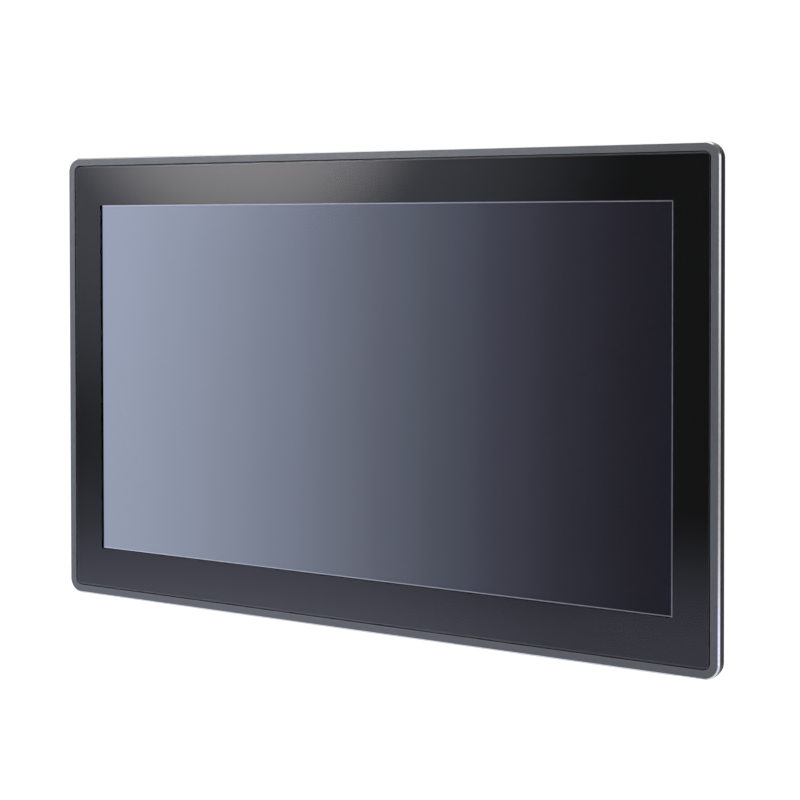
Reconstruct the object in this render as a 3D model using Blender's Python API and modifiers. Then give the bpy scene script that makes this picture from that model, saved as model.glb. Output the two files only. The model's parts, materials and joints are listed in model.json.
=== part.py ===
"""HMI touch panel: a flush-glass operator display for a machine or cabinet door.

Metres, +Z up.  The glass faces -Y and +X is to the right of someone who looks at the glass.
The origin is the centre of the mounting pad on the back of the heat-sink cover.  A station is
a depth measured backwards from the front plane of the bezel, so that station DEPTH is Y = 0.
"""

import math

import bmesh
import bpy
from mathutils import Matrix, Vector

# --- General -----------------------------------------------------------------------------
GAP = 0.0003                # air between two pieces that touch
OVERSHOOT = 0.001           # how far a cutter reaches past the face that it opens
CORNER_SEGMENTS = 6         # facets round one corner of a plate
SMALL_SIDES = 16            # facets round a screw or a pin
ROUND_SIDES = 24            # facets round a button or a knob
HEX = 6

# --- Display, seen from the front -------------------------------------------------------
ACTIVE_W = 0.47606          # picture of a 21.5 inch wide-screen display
ACTIVE_H = 0.26779
BORDER_SIDE = 0.02627       # dark border from the picture to the glass seam
BORDER_TOP = 0.0309
SEAM = 0.0006               # open joint between glass and bezel
BEZEL_FACE = 0.0053         # flat front face of the bezel
BEZEL_CHAMFER = 0.0012
BEZEL_RADIUS = 0.011        # outer corner of the bezel
OPENING_RADIUS = 0.0046     # corner of the opening for the glass

OPENING_W = ACTIVE_W + 2 * BORDER_SIDE
OPENING_H = ACTIVE_H + 2 * BORDER_TOP
BEZEL_W = OPENING_W + 2 * (BEZEL_FACE + BEZEL_CHAMFER)
BEZEL_H = OPENING_H + 2 * (BEZEL_FACE + BEZEL_CHAMFER)

# --- Display module behind the glass ----------------------------------------------------
MODULE_MARGIN_X = 0.00977   # from the picture to the outside of the display module
MODULE_MARGIN_Z = 0.0122
LEDGE_CLEARANCE = 0.0017    # between the module and the bezel's inner ledge
CELL_INSET = 0.0033         # from the module's outside to the edge of the cell
MIDDLE_FRAME_RIM = 0.008    # width of the plastic frame
TRAY_WALL = 0.0008
SHEET_INSET = 0.001         # from the tray's inner wall to the optical sheets
LED_STRIP_H = 0.0025
LED_STRIP_INSET = 0.006     # from the strip's ends to the tray's inner walls
TAPE_INSET = 0.0008         # from the edge of the glass to the tape
TAPE_W = 0.008

MODULE_W = ACTIVE_W + 2 * MODULE_MARGIN_X
MODULE_H = ACTIVE_H + 2 * MODULE_MARGIN_Z
LEDGE_W = MODULE_W + 2 * LEDGE_CLEARANCE
LEDGE_H = MODULE_H + 2 * LEDGE_CLEARANCE
GLASS_W = OPENING_W - 2 * SEAM
GLASS_H = OPENING_H - 2 * SEAM

# --- Stack of the front, as thicknesses and stations ------------------------------------
GLASS_RECESS = 0.0001
GLASS_T = 0.003
TAPE_T = 0.0005
SENSOR_T = 0.0007
CELL_T = 0.0014
MIDDLE_FRAME_T = 0.0012
SHEETS_T = 0.0006
GUIDE_T = 0.003
BEZEL_DEPTH = 0.0059
GASKET_T = 0.0034
GASKET_INSET = 0.0004       # from the bezel's outside to the gasket
GASKET_W = 0.0128

GLASS_BACK = GLASS_RECESS + GLASS_T
TAPE_FRONT = GLASS_BACK + GAP
LEDGE_FRONT = TAPE_FRONT + TAPE_T + GAP
SENSOR_FRONT = GLASS_BACK + GAP
CELL_FRONT = SENSOR_FRONT + SENSOR_T + GAP
MIDDLE_FRAME_FRONT = CELL_FRONT + CELL_T + GAP
TRAY_FRONT = MIDDLE_FRAME_FRONT + MIDDLE_FRAME_T + GAP
GUIDE_FRONT = TRAY_FRONT + SHEETS_T + GAP
TRAY_FLOOR = GUIDE_FRONT + GUIDE_T + GAP
MODULE_BACK = TRAY_FLOOR + TRAY_WALL

# --- Folded steel of the display's brackets and of the rear housing -----------------------
BRACKET_T = 0.0012
BRACKET_H = 0.200
BRACKET_CLEARANCE = 0.0013  # from the bracket's foot to the housing's inner wall
BRACKET_ARM = 0.022         # reaches over the back of the module
BOARD_T = 0.0016

PAN_INSET = 0.0143          # from the bezel's outside to the housing's wall
PAN_DEPTH = 0.0238
PAN_WALL = 0.0015
PAN_RADIUS = 0.006
PAN_FRONT = BEZEL_DEPTH + GAP
PAN_BACK = PAN_FRONT + PAN_DEPTH
PAN_W = BEZEL_W - 2 * PAN_INSET
PAN_H = BEZEL_H - 2 * PAN_INSET
BRACKET_RISER = MODULE_W / 2 + GAP + BRACKET_T / 2
BRACKET_FOOT = PAN_W / 2 - PAN_WALL - BRACKET_CLEARANCE - BRACKET_RISER

BOSS_R = 0.003              # posts on the bezel that take the housing's screws
BOSS_SPREAD = 0.470         # between the left and the right posts
BOSS_WALL_CLEARANCE = 0.0004
BOSS_SIDE_CLEARANCE = 0.015
BOSS_X = min(BOSS_SPREAD / 2, PAN_W / 2 - BOSS_SIDE_CLEARANCE)
BOSS_Z = PAN_H / 2 - PAN_WALL - BOSS_WALL_CLEARANCE - BOSS_R

CLAMP_SLOT_L = 0.014        # slots for the hooks of the mounting clamps
CLAMP_SLOT_W = 0.0055
CLAMP_SLOT_STATION = 0.0165
CLAMP_SPREAD_X = 0.62       # share of the wall that the outermost slots span
CLAMP_SPREAD_Z = 0.5
CLAMPS_ALONG = 3
CLAMPS_UPRIGHT = 2

VENT_W = 0.003
VENT_H = 0.060
VENT_PITCH = 0.009
VENTS_PER_ROW = 8
VENT_ROW_Z = 0.055

# --- Electronics box --------------------------------------------------------------------
BOX_W = 0.300
BOX_H = 0.210
BOX_DEPTH = 0.0277
BOX_WALL = 0.0015
BOX_RADIUS = 0.002
BOX_FLANGE = 0.008
BOX_BLOCK = 0.010           # screw blocks in the corners
BOX_FRONT = PAN_BACK + GAP
BOX_BACK = BOX_FRONT + BOX_DEPTH
BOX_BOTTOM = -BOX_H / 2
INNER_X = BOX_W / 2 - BOX_WALL
INNER_Z = BOX_H / 2 - BOX_WALL
COVER_SCREW_X = INNER_X - BOX_BLOCK / 2
COVER_SCREW_Z = INNER_Z - BOX_BLOCK / 2
BOX_VENTS = 14
BOX_VENT_L = 0.014
BOX_VENT_PITCH = 0.016

# --- Heat-sink cover and mounting pad ----------------------------------------------------
COVER_PLATE = 0.004
FIN_H = 0.0112
FIN_T = 0.0022
FIN_PITCH = 0.008
PAD_PROUD = 0.0005
VESA = 0.100                # spacing of the four threaded inserts
PAD_MARGIN = 0.010
PAD = VESA + 2 * PAD_MARGIN
INSERT_R = 0.003
INSERT_BORE_R = 0.00165
INSERT_L = 0.0095
COVER_FRONT = BOX_BACK + GAP
COVER_FLOOR = COVER_FRONT + COVER_PLATE
DEPTH = COVER_FLOOR + FIN_H + PAD_PROUD

# --- Boards and what they carry ----------------------------------------------------------
BOARD_LIFT = 0.0042         # height of the mainboard over the housing's floor
BOARD_SIDE_MARGIN = 0.027
BOARD_END_CLEARANCE = 0.0018
BOARD_TOP_CLEARANCE = 0.005 # from the board's upper edge to the passage for cables
CABLE_WINDOW_H = 0.022      # passage for cables above the mainboard
CABLE_WINDOW_W = 0.180
BOARD_FRONT = PAN_BACK + BOARD_LIFT + GAP
BOARD_BACK = BOARD_FRONT + BOARD_T
PARTS_ON_BOARD = BOARD_BACK + GAP
BOARD_W = 2 * (INNER_X - BOARD_SIDE_MARGIN)
BOARD_BOTTOM = -INNER_Z + BOARD_END_CLEARANCE
BOARD_TOP = INNER_Z - BOX_FLANGE - CABLE_WINDOW_H - BOARD_TOP_CLEARANCE
BOARD_POST_R = 0.003
BOARD_POST_INSET = 0.006
BOARD_POST_RISE = 0.060     # lower posts, above the sockets

PROCESSOR = 0.0375
PROCESSOR_T = 0.002
PAD_T = 0.001
THERMAL_PAD = 0.030
HEAT_BLOCK = 0.056
SPACING = 0.008             # between neighbours on the mainboard
PROCESSOR_DROP = 0.015      # from the drive's middle down to the processor's
MEMORY_SOCKET = (0.074, 0.0052, 0.0065)
MEMORY_MODULE = (0.0676, 0.0012, 0.030)
MEMORY_SLOT_DEPTH = 0.003
MEMORY_SLOT_LIFT = 0.0022
BATTERY_R = 0.010
BATTERY_T = 0.0032
HOLDER_R = 0.0122
HOLDER_T = 0.0045

DRIVE = (0.100, 0.007, 0.06985)
DRIVE_STATION = 0.0435
DRIVE_TOP_CLEARANCE = 0.030
DRIVE_TRAY_T = 0.0012
DRIVE_WALL_CLEARANCE = 0.002
DRIVE_X = INNER_X - DRIVE_WALL_CLEARANCE - DRIVE[0] / 2
DRIVE_Z = INNER_Z - DRIVE_TOP_CLEARANCE - DRIVE[2] / 2
PROCESSOR_X = DRIVE_X - DRIVE[0] / 2 - SPACING - HEAT_BLOCK / 2
PROCESSOR_Z = DRIVE_Z - PROCESSOR_DROP
MEMORY_X = PROCESSOR_X
MEMORY_REACH = MEMORY_SOCKET[2] / 2 - MEMORY_SLOT_DEPTH + GAP + MEMORY_MODULE[2]
MEMORY_Z = PROCESSOR_Z - HEAT_BLOCK / 2 - SPACING - MEMORY_REACH
BATTERY_X = PROCESSOR_X - HEAT_BLOCK / 2 - SPACING - HOLDER_R
BATTERY_Z = PROCESSOR_Z

# --- Drive door ----------------------------------------------------------------------------
DRIVE_WINDOW_H = 0.074
DRIVE_WINDOW_W = 0.010
DOOR_T = 0.0015
DOOR_MARGIN = 0.010         # from the window's ends to the door's ends
DOOR_LIP = 0.004            # from the window to the door's free edge
DOOR_LIFT = 0.0006          # between the wall and the closed door
KNUCKLE_R = 0.0022
KNUCKLE_BORE_R = 0.0013
PIN_R = 0.001
EAR_L = 0.008
HINGE_STATION = 0.0555
DOOR_H = DRIVE_WINDOW_H + 2 * DOOR_MARGIN
DOOR_FRONT = DRIVE_STATION + DRIVE[1] / 2 - DRIVE_WINDOW_W / 2 - DOOR_LIP
HINGE_X = BOX_W / 2 + GAP + KNUCKLE_R
DOOR_MIDDLE_X = BOX_W / 2 + DOOR_LIFT + DOOR_T / 2
THUMB_HEAD_R = 0.0042
THUMB_HEAD_L = 0.006
THUMB_SHANK_R = 0.0014
THUMB_HOLE_R = 0.0022
THUMB_REACH = 0.001         # how far the shank enters the wall
THUMB_STATION = DRIVE_STATION + DRIVE[1] / 2
THUMB_Z = DRIVE_Z - DRIVE_WINDOW_H / 2 - DOOR_MARGIN / 2

# --- Screws --------------------------------------------------------------------------------
SCREW_HEAD_R = 0.0028
SCREW_HEAD_T = 0.002
SCREW_SHANK_R = 0.0014
SCREW_HOLE_R = 0.0018
SCREW_KEY_R = 0.0014
SCREW_KEY_DEPTH = 0.0012
SCREW_POCKET_R = 0.0045
HOUSING_SCREW_L = 0.010
COVER_SCREW_L = 0.014
TIP_CLEARANCE = 0.001       # below a screw's tip in its blind hole

# --- Sockets and controls in the lower wall, as (name, width) -----------------------------
PORT_PROUD = 0.0005         # sockets stand this far out of the wall
PORT_FIT = 0.0004           # play round a socket in its window
IO_END_MARGIN = 0.016       # from the inner walls to the first and the last item
BUTTON_R = 0.005
RESET_R = 0.0016
LED_R = 0.0015
CONTROL_FIT = 0.0003
CONTROL_RISE = 0.0085       # from the mainboard to the controls' axes
BUTTON_PROUD = 0.0015       # how far each control stands out of the wall, and how long it is
BUTTON_L = 0.0095
RESET_PROUD = -0.0004
RESET_L = 0.0066
LED_PROUD = 0.0006
LED_L = 0.0066
SWITCH_PROUD = 0.0015
SWITCH_L = 0.0075
SWITCH_KNOB_W = 0.003
SWITCH_TRAVEL = 0.003
SWITCH_KNOB_D = 0.0026
STUD_R = 0.0019
STUD_L = 0.012              # outside the wall
STUD_HEAD_T = 0.0025
NUT_R = 0.004
NUT_T = 0.0032
CONTROL_STATION = PARTS_ON_BOARD + CONTROL_RISE
LAN = {"width": 0.0160, "tall": 0.0136, "long": 0.0210, "hole": (0.0118, 0.0082, 0.0120)}
USB = {"width": 0.0144, "tall": 0.0070, "long": 0.0170, "hole": (0.0125, 0.0050, 0.0090)}
VIDEO = {"width": 0.0180, "tall": 0.0072, "long": 0.0140, "hole": (0.0162, 0.0050, 0.0080)}
POWER = {"width": 0.0155, "tall": 0.0110, "long": 0.0180, "hole": (0.0130, 0.0080, 0.0110)}
SERIAL = {"width": 0.0190, "tall": 0.0105, "long": 0.0150, "hole": (0.0168, 0.0083, 0.0060)}
SERIAL_FLANGE = (0.031, 0.0126, 0.0008)
IO_ROW = (
    ("power_button", 2 * BUTTON_R),
    ("power_led", 2 * LED_R),
    ("reset_button", 2 * RESET_R),
    ("mode_switch", SWITCH_KNOB_W + SWITCH_TRAVEL),
    ("dc_inlet", POWER["width"]),
    ("video_port", VIDEO["width"]),
    ("usb_port_1", USB["width"]),
    ("usb_port_2", USB["width"]),
    ("lan_port_1", LAN["width"]),
    ("lan_port_2", LAN["width"]),
    ("serial_port", SERIAL_FLANGE[0]),
    ("earth_stud", 2 * NUT_R),
)

# --- Cables ----------------------------------------------------------------------------------
CABLE_R = 0.0012
CABLE_SAMPLES = 26
CABLE_EASE = 0.004          # steps of a cable's bend round the edge of the mainboard
CABLE_LIFT = 0.008          # height of the bend over the mainboard
CABLE_LANDING = 0.014       # from the mainboard's upper edge down to a cable's end
CABLE_STEP = 0.024          # from the display cable's end to the backlight cable's end
TOUCH_LANDING = -0.060      # from the display cable's end to the touch cable's end
CABLE_SPREAD = 0.090        # from the display cable to where the outer cables turn inwards
CABLE_TURN_Z = 0.040
TIMING_EXIT = 0.006         # from the timing board's middle up to its cable's end
TOUCH_EXIT = (0.020, 0.012) # from the touch board's middle to its cable's end and first bend
TOUCH_BEND = (0.030, 0.040)
LAMP_EXIT = (0.040, 0.012)  # from the module's lower right corner to the backlight cable's end
LAMP_BEND = (0.060, 0.060)
CABLE_LANE_Z = INNER_Z - BOX_FLANGE - CABLE_WINDOW_H / 2
TIMING_BOARD = (0.190, 0.034)
TIMING_BOARD_Z = MODULE_H / 2 - 0.050
TOUCH_BOARD = (0.070, 0.045)
TOUCH_BOARD_X = -MODULE_W / 2 + 0.078
TOUCH_BOARD_Z = -MODULE_H / 2 + 0.050
ON_MODULE = MODULE_BACK + GAP + BOARD_T + GAP + CABLE_R

# --- Finishes as (colour, roughness, metallic) -----------------------------------------------
DARK_ANODISED = ((0.10, 0.10, 0.105), 0.42, 1.0)
BLACK_GLASS = ((0.012, 0.012, 0.014), 0.05, 0.0)
CLEAR_SHEET = ((0.80, 0.84, 0.86), 0.10, 0.0)
DISPLAY = ((0.16, 0.17, 0.20), 0.35, 0.0)
BLACK_RUBBER = ((0.02, 0.02, 0.02), 0.80, 0.0)
BLACK_PLASTIC = ((0.03, 0.03, 0.03), 0.50, 0.0)
WHITE_FILM = ((0.85, 0.85, 0.85), 0.60, 0.0)
ZINC_STEEL = ((0.62, 0.63, 0.64), 0.35, 1.0)
POWDER_COAT = ((0.05, 0.052, 0.055), 0.60, 0.0)
RAW_ALUMINIUM = ((0.75, 0.76, 0.78), 0.35, 1.0)
NICKEL = ((0.70, 0.69, 0.66), 0.25, 1.0)
BRASS = ((0.78, 0.62, 0.30), 0.30, 1.0)
CIRCUIT_BOARD = ((0.02, 0.16, 0.08), 0.45, 0.0)
GREY_PAD = ((0.45, 0.47, 0.50), 0.85, 0.0)
GREEN_LENS = ((0.10, 0.55, 0.20), 0.20, 0.0)


# --- Scene and modelling helpers -----------------------------------------------------------

def empty_scene():
    for obj in list(bpy.data.objects):
        bpy.data.objects.remove(obj, do_unlink=True)


def new_collection(name):
    collection = bpy.data.collections.new(name)
    bpy.context.scene.collection.children.link(collection)
    return collection


empty_scene()
PARTS = new_collection("hmi_touch_panel")
CUTTERS = new_collection("cutters")


def station_y(station):
    """World Y of a depth behind the front plane."""
    return station - DEPTH


def finish(obj, look):
    """Give a piece its own material."""
    colour, roughness, metallic = look
    material = bpy.data.materials.new(obj.name)
    material.use_nodes = True
    shader = material.node_tree.nodes["Principled BSDF"]
    shader.inputs["Base Color"].default_value = (*colour, 1.0)
    shader.inputs["Roughness"].default_value = roughness
    shader.inputs["Metallic"].default_value = metallic
    material.diffuse_color = (*colour, 1.0)
    obj.data.materials.append(material)
    return obj


def mesh_object(name, bm, centre):
    mesh = bpy.data.meshes.new(name)
    bm.to_mesh(mesh)
    bm.free()
    obj = bpy.data.objects.new(name, mesh)
    obj.location = centre
    PARTS.objects.link(obj)
    return obj


def slab(name, width, height, front, back, x=0.0, z=0.0, radius=0.0):
    """A plate between two stations, a rectangle with round corners seen from the front."""
    bm = bmesh.new()
    bmesh.ops.create_cube(bm, size=1.0)
    bmesh.ops.scale(bm, vec=(width, back - front, height), verts=bm.verts)
    if radius > 0.0:
        corners = [e for e in bm.edges if abs(e.verts[0].co.y - e.verts[1].co.y) > (back - front) / 2]
        bmesh.ops.bevel(bm, geom=corners, offset=radius, segments=CORNER_SEGMENTS, profile=0.5,
                        affect="EDGES")
    return mesh_object(name, bm, (x, station_y((front + back) / 2), z))


def rod(name, radius, start, end, sides=SMALL_SIDES):
    """A round or hexagonal bar from one point to another, each as (x, station, z)."""
    first = Vector((start[0], station_y(start[1]), start[2]))
    last = Vector((end[0], station_y(end[1]), end[2]))
    along = last - first
    turn = Vector((0.0, 0.0, 1.0)).rotation_difference(along).to_matrix().to_4x4()
    bm = bmesh.new()
    bmesh.ops.create_cone(bm, cap_ends=True, cap_tris=False, segments=sides, radius1=radius,
                          radius2=radius, depth=along.length, matrix=turn)
    obj = mesh_object(name, bm, (first + last) / 2)
    if sides > HEX:
        obj.data.shade_smooth()
        obj.data.set_sharp_from_angle(angle=math.radians(40.0))
    return obj


def chamfer_front(obj, width):
    """Cut a flat chamfer round the front edge of a plate."""
    bm = bmesh.new()
    bm.from_mesh(obj.data)
    front = min(v.co.y for v in bm.verts)
    rim = [e for e in bm.edges if all(v.co.y < front + width / 10 for v in e.verts)]
    bmesh.ops.bevel(bm, geom=rim, offset=width, segments=1, profile=0.5, affect="EDGES")
    bm.to_mesh(obj.data)
    bm.free()


def move_origin(obj, point):
    """Put a piece's origin on its joint axis without moving the piece."""
    shift = obj.location - Vector(point)
    obj.data.transform(Matrix.Translation(shift))
    obj.location = point


def as_tool(obj):
    """Turn an object into a wire guide that a Boolean reads."""
    PARTS.objects.unlink(obj)
    CUTTERS.objects.link(obj)
    obj.hide_render = True
    obj.display_type = "WIRE"


def gang(name, tools):
    """Gather tools that don't touch each other into one object."""
    bm = bmesh.new()
    for tool in tools:
        tool.data.transform(Matrix.Translation(tool.location))
        bm.from_mesh(tool.data)
        bpy.data.objects.remove(tool, do_unlink=True)
    return mesh_object(name, bm, (0.0, 0.0, 0.0))


def combine(obj, tool, operation):
    modifier = obj.modifiers.new(tool.name, "BOOLEAN")
    modifier.operation = operation
    modifier.solver = "EXACT"
    modifier.object = tool
    as_tool(tool)


def cut(obj, *tools):
    for tool in tools:
        combine(obj, tool, "DIFFERENCE")


def fuse(obj, *tools):
    for tool in tools:
        combine(obj, tool, "UNION")


def spaced(count, span):
    """Places of count items whose outermost ones are span apart, centred on zero."""
    return [span * (i / (count - 1) - 0.5) for i in range(count)]


def four_corners(x, z):
    return ((-x, z), (x, z), (-x, -z), (x, -z))


def folded_strip(name, profile, height, thickness, z=0.0):
    """Sheet metal folded along (x, station) points and as tall as height."""
    bm = bmesh.new()
    verts = [bm.verts.new((x, station_y(station), -height / 2)) for x, station in profile]
    edges = [bm.edges.new(pair) for pair in zip(verts, verts[1:])]
    swept = bmesh.ops.extrude_edge_only(bm, edges=edges)["geom"]
    tops = [g for g in swept if isinstance(g, bmesh.types.BMVert)]
    bmesh.ops.translate(bm, vec=(0.0, 0.0, height), verts=tops)
    bmesh.ops.recalc_face_normals(bm, faces=bm.faces)
    obj = mesh_object(name, bm, (0.0, 0.0, z))
    wall = obj.modifiers.new("sheet", "SOLIDIFY")
    wall.thickness = thickness
    wall.offset = 0.0
    wall.use_even_offset = True
    return obj


# --- Front ---------------------------------------------------------------------------------

def front_bezel():
    bezel = slab("front_bezel", BEZEL_W, BEZEL_H, 0.0, BEZEL_DEPTH, radius=BEZEL_RADIUS)
    chamfer_front(bezel, BEZEL_CHAMFER)
    pocket = slab("bezel_pocket", OPENING_W, OPENING_H, -OVERSHOOT, LEDGE_FRONT, radius=OPENING_RADIUS)
    window = slab("bezel_window", LEDGE_W, LEDGE_H, LEDGE_FRONT - OVERSHOOT, BEZEL_DEPTH + OVERSHOOT,
                  radius=LEDGE_CLEARANCE)
    cut(bezel, pocket, window)
    back = PAN_BACK - PAN_WALL - GAP
    root = BEZEL_DEPTH - TAPE_T
    posts = [rod("post", BOSS_R, (x, root, z), (x, back, z)) for x, z in four_corners(BOSS_X, BOSS_Z)]
    fuse(bezel, gang("bezel_posts", posts))
    bottom = PAN_BACK - HOUSING_SCREW_L - TIP_CLEARANCE
    holes = [rod("hole", SCREW_HOLE_R, (x, bottom, z), (x, back + OVERSHOOT, z))
             for x, z in four_corners(BOSS_X, BOSS_Z)]
    cut(bezel, gang("bezel_post_holes", holes))
    finish(bezel, DARK_ANODISED)


def cover_glass():
    glass = slab("cover_glass", GLASS_W, GLASS_H, GLASS_RECESS, GLASS_BACK, radius=OPENING_RADIUS - SEAM)
    finish(glass, BLACK_GLASS)


def glass_tape():
    outer_w = GLASS_W - 2 * TAPE_INSET
    outer_h = GLASS_H - 2 * TAPE_INSET
    back = TAPE_FRONT + TAPE_T
    tape = slab("glass_tape", outer_w, outer_h, TAPE_FRONT, back)
    cut(tape, slab("tape_window", outer_w - 2 * TAPE_W, outer_h - 2 * TAPE_W,
                   TAPE_FRONT - OVERSHOOT, back + OVERSHOOT))
    finish(tape, BLACK_RUBBER)


def touch_sensor():
    width = LEDGE_W - 2 * LEDGE_CLEARANCE
    height = LEDGE_H - 2 * LEDGE_CLEARANCE
    sensor = slab("touch_sensor", width, height, SENSOR_FRONT, SENSOR_FRONT + SENSOR_T)
    finish(sensor, CLEAR_SHEET)


def panel_gasket():
    outer_w = BEZEL_W - 2 * GASKET_INSET
    outer_h = BEZEL_H - 2 * GASKET_INSET
    front = BEZEL_DEPTH + GAP
    gasket = slab("panel_gasket", outer_w, outer_h, front, front + GASKET_T,
                  radius=BEZEL_RADIUS - GASKET_INSET)
    cut(gasket, slab("gasket_window", outer_w - 2 * GASKET_W, outer_h - 2 * GASKET_W,
                     front - OVERSHOOT, front + GASKET_T + OVERSHOOT, radius=PAN_RADIUS + OVERSHOOT))
    finish(gasket, BLACK_RUBBER)


# --- Display module ------------------------------------------------------------------------

def lcd_cell():
    cell = slab("lcd_cell", MODULE_W - 2 * CELL_INSET, MODULE_H - 2 * CELL_INSET,
                CELL_FRONT, CELL_FRONT + CELL_T)
    finish(cell, DISPLAY)


def middle_frame():
    back = MIDDLE_FRAME_FRONT + MIDDLE_FRAME_T
    frame = slab("middle_frame", MODULE_W, MODULE_H, MIDDLE_FRAME_FRONT, back)
    cut(frame, slab("middle_frame_window", MODULE_W - 2 * MIDDLE_FRAME_RIM,
                    MODULE_H - 2 * MIDDLE_FRAME_RIM, MIDDLE_FRAME_FRONT - OVERSHOOT, back + OVERSHOOT))
    finish(frame, BLACK_PLASTIC)


def backlight_tray():
    tray = slab("backlight_tray", MODULE_W, MODULE_H, TRAY_FRONT, MODULE_BACK)
    cut(tray, slab("tray_hollow", MODULE_W - 2 * TRAY_WALL, MODULE_H - 2 * TRAY_WALL,
                   TRAY_FRONT - OVERSHOOT, TRAY_FLOOR))
    finish(tray, ZINC_STEEL)


def backlight():
    width = MODULE_W - 2 * (TRAY_WALL + SHEET_INSET)
    height = MODULE_H - 2 * (TRAY_WALL + SHEET_INSET)
    sheets = slab("optical_sheets", width, height, TRAY_FRONT, TRAY_FRONT + SHEETS_T)
    finish(sheets, WHITE_FILM)
    strip_z = -height / 2 + LED_STRIP_H / 2
    guide_h = height - LED_STRIP_H - SHEET_INSET
    guide = slab("light_guide", width, guide_h, GUIDE_FRONT, GUIDE_FRONT + GUIDE_T,
                 z=(height - guide_h) / 2)
    finish(guide, CLEAR_SHEET)
    strip = slab("led_strip", width - 2 * LED_STRIP_INSET, LED_STRIP_H, GUIDE_FRONT,
                 GUIDE_FRONT + GUIDE_T, z=strip_z)
    finish(strip, WHITE_FILM)


def lcd_brackets():
    middle = BRACKET_T / 2
    foot = BEZEL_DEPTH + GAP + middle
    arm = MODULE_BACK + GAP + middle
    for name, side in (("lcd_bracket_left", -1), ("lcd_bracket_right", 1)):
        profile = [
            (side * (BRACKET_RISER + BRACKET_FOOT), foot),
            (side * BRACKET_RISER, foot),
            (side * BRACKET_RISER, arm),
            (side * (BRACKET_RISER - BRACKET_ARM), arm),
        ]
        finish(folded_strip(name, profile, BRACKET_H, BRACKET_T), ZINC_STEEL)


def module_boards():
    front = MODULE_BACK + GAP
    timing = slab("timing_board", *TIMING_BOARD, front, front + BOARD_T, z=TIMING_BOARD_Z)
    finish(timing, CIRCUIT_BOARD)
    touch = slab("touch_board", *TOUCH_BOARD, front, front + BOARD_T, x=TOUCH_BOARD_X, z=TOUCH_BOARD_Z)
    finish(touch, CIRCUIT_BOARD)


# --- Rear housing ----------------------------------------------------------------------------

def clamp_slots():
    front = CLAMP_SLOT_STATION - CLAMP_SLOT_W / 2
    back = CLAMP_SLOT_STATION + CLAMP_SLOT_W / 2
    through = 4 * PAN_WALL
    slots = []
    for side in (-1, 1):
        for x in spaced(CLAMPS_ALONG, PAN_W * CLAMP_SPREAD_X):
            slots.append(slab("slot", CLAMP_SLOT_L, through, front, back, x=x, z=side * PAN_H / 2))
        for z in spaced(CLAMPS_UPRIGHT, PAN_H * CLAMP_SPREAD_Z):
            slots.append(slab("slot", through, CLAMP_SLOT_L, front, back, x=side * PAN_W / 2, z=z))
    return gang("clamp_slots", slots)


def housing_vents():
    middle = (BOX_W / 2 + PAN_W / 2) / 2
    offsets = spaced(VENTS_PER_ROW, VENT_PITCH * (VENTS_PER_ROW - 1))
    floor = PAN_BACK - PAN_WALL
    vents = []
    for side in (-1, 1):
        for z in (-VENT_ROW_Z, VENT_ROW_Z):
            for offset in offsets:
                x = side * middle + offset
                vents.append(slab("vent", VENT_W, VENT_H, floor - OVERSHOOT, PAN_BACK + OVERSHOOT, x=x, z=z))
    return gang("housing_vents", vents)


def board_posts():
    """Centres of the four posts under the mainboard."""
    x = BOARD_W / 2 - BOARD_POST_INSET
    low = BOARD_BOTTOM + BOARD_POST_RISE
    high = BOARD_TOP - BOARD_POST_INSET
    return ((-x, high), (x, high), (-x, low), (x, low))


def rear_housing():
    floor = PAN_BACK - PAN_WALL
    pan = slab("rear_housing", PAN_W, PAN_H, PAN_FRONT, PAN_BACK, radius=PAN_RADIUS)
    hollow = slab("housing_hollow", PAN_W - 2 * PAN_WALL, PAN_H - 2 * PAN_WALL,
                  PAN_FRONT - OVERSHOOT, floor, radius=PAN_RADIUS - PAN_WALL)
    passage = slab("cable_passage", CABLE_WINDOW_W, CABLE_WINDOW_H, floor - OVERSHOOT,
                   PAN_BACK + OVERSHOOT, z=CABLE_LANE_Z, radius=PAN_WALL)
    holes = [rod("hole", SCREW_HOLE_R, (x, floor - OVERSHOOT, z), (x, PAN_BACK + OVERSHOOT, z))
             for x, z in four_corners(BOSS_X, BOSS_Z)]
    cut(pan, hollow, passage, gang("housing_screw_holes", holes), clamp_slots(), housing_vents())
    posts = [rod("post", BOARD_POST_R, (x, floor + PAN_WALL / 2, z), (x, PAN_BACK + BOARD_LIFT, z))
             for x, z in board_posts()]
    fuse(pan, gang("board_posts", posts))
    finish(pan, POWDER_COAT)


# --- Electronics box -------------------------------------------------------------------------

def io_places():
    """Centre of each item along the lower wall, evenly spaced from left to right."""
    room = 2 * (INNER_X - IO_END_MARGIN)
    space = (room - sum(width for _, width in IO_ROW)) / (len(IO_ROW) - 1)
    places = {}
    left = -room / 2
    for name, width in IO_ROW:
        places[name] = left + width / 2
        left += width + space
    return places


IO_X = io_places()
PORTS = {
    "dc_inlet": (POWER, BLACK_PLASTIC),
    "video_port": (VIDEO, NICKEL),
    "usb_port_1": (USB, NICKEL),
    "usb_port_2": (USB, NICKEL),
    "lan_port_1": (LAN, NICKEL),
    "lan_port_2": (LAN, NICKEL),
    "serial_port": (SERIAL, NICKEL),
}


def wall_window(name, x, width, front, back):
    """A hole through the lower wall of the box."""
    return slab(name, width, 4 * BOX_WALL, front, back, x=x, z=BOX_BOTTOM + BOX_WALL / 2)


def wall_bore(name, x, radius):
    top = (x, CONTROL_STATION, BOX_BOTTOM + 2 * BOX_WALL)
    return rod(name, radius, (x, CONTROL_STATION, BOX_BOTTOM - BOX_WALL), top, ROUND_SIDES)


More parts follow.
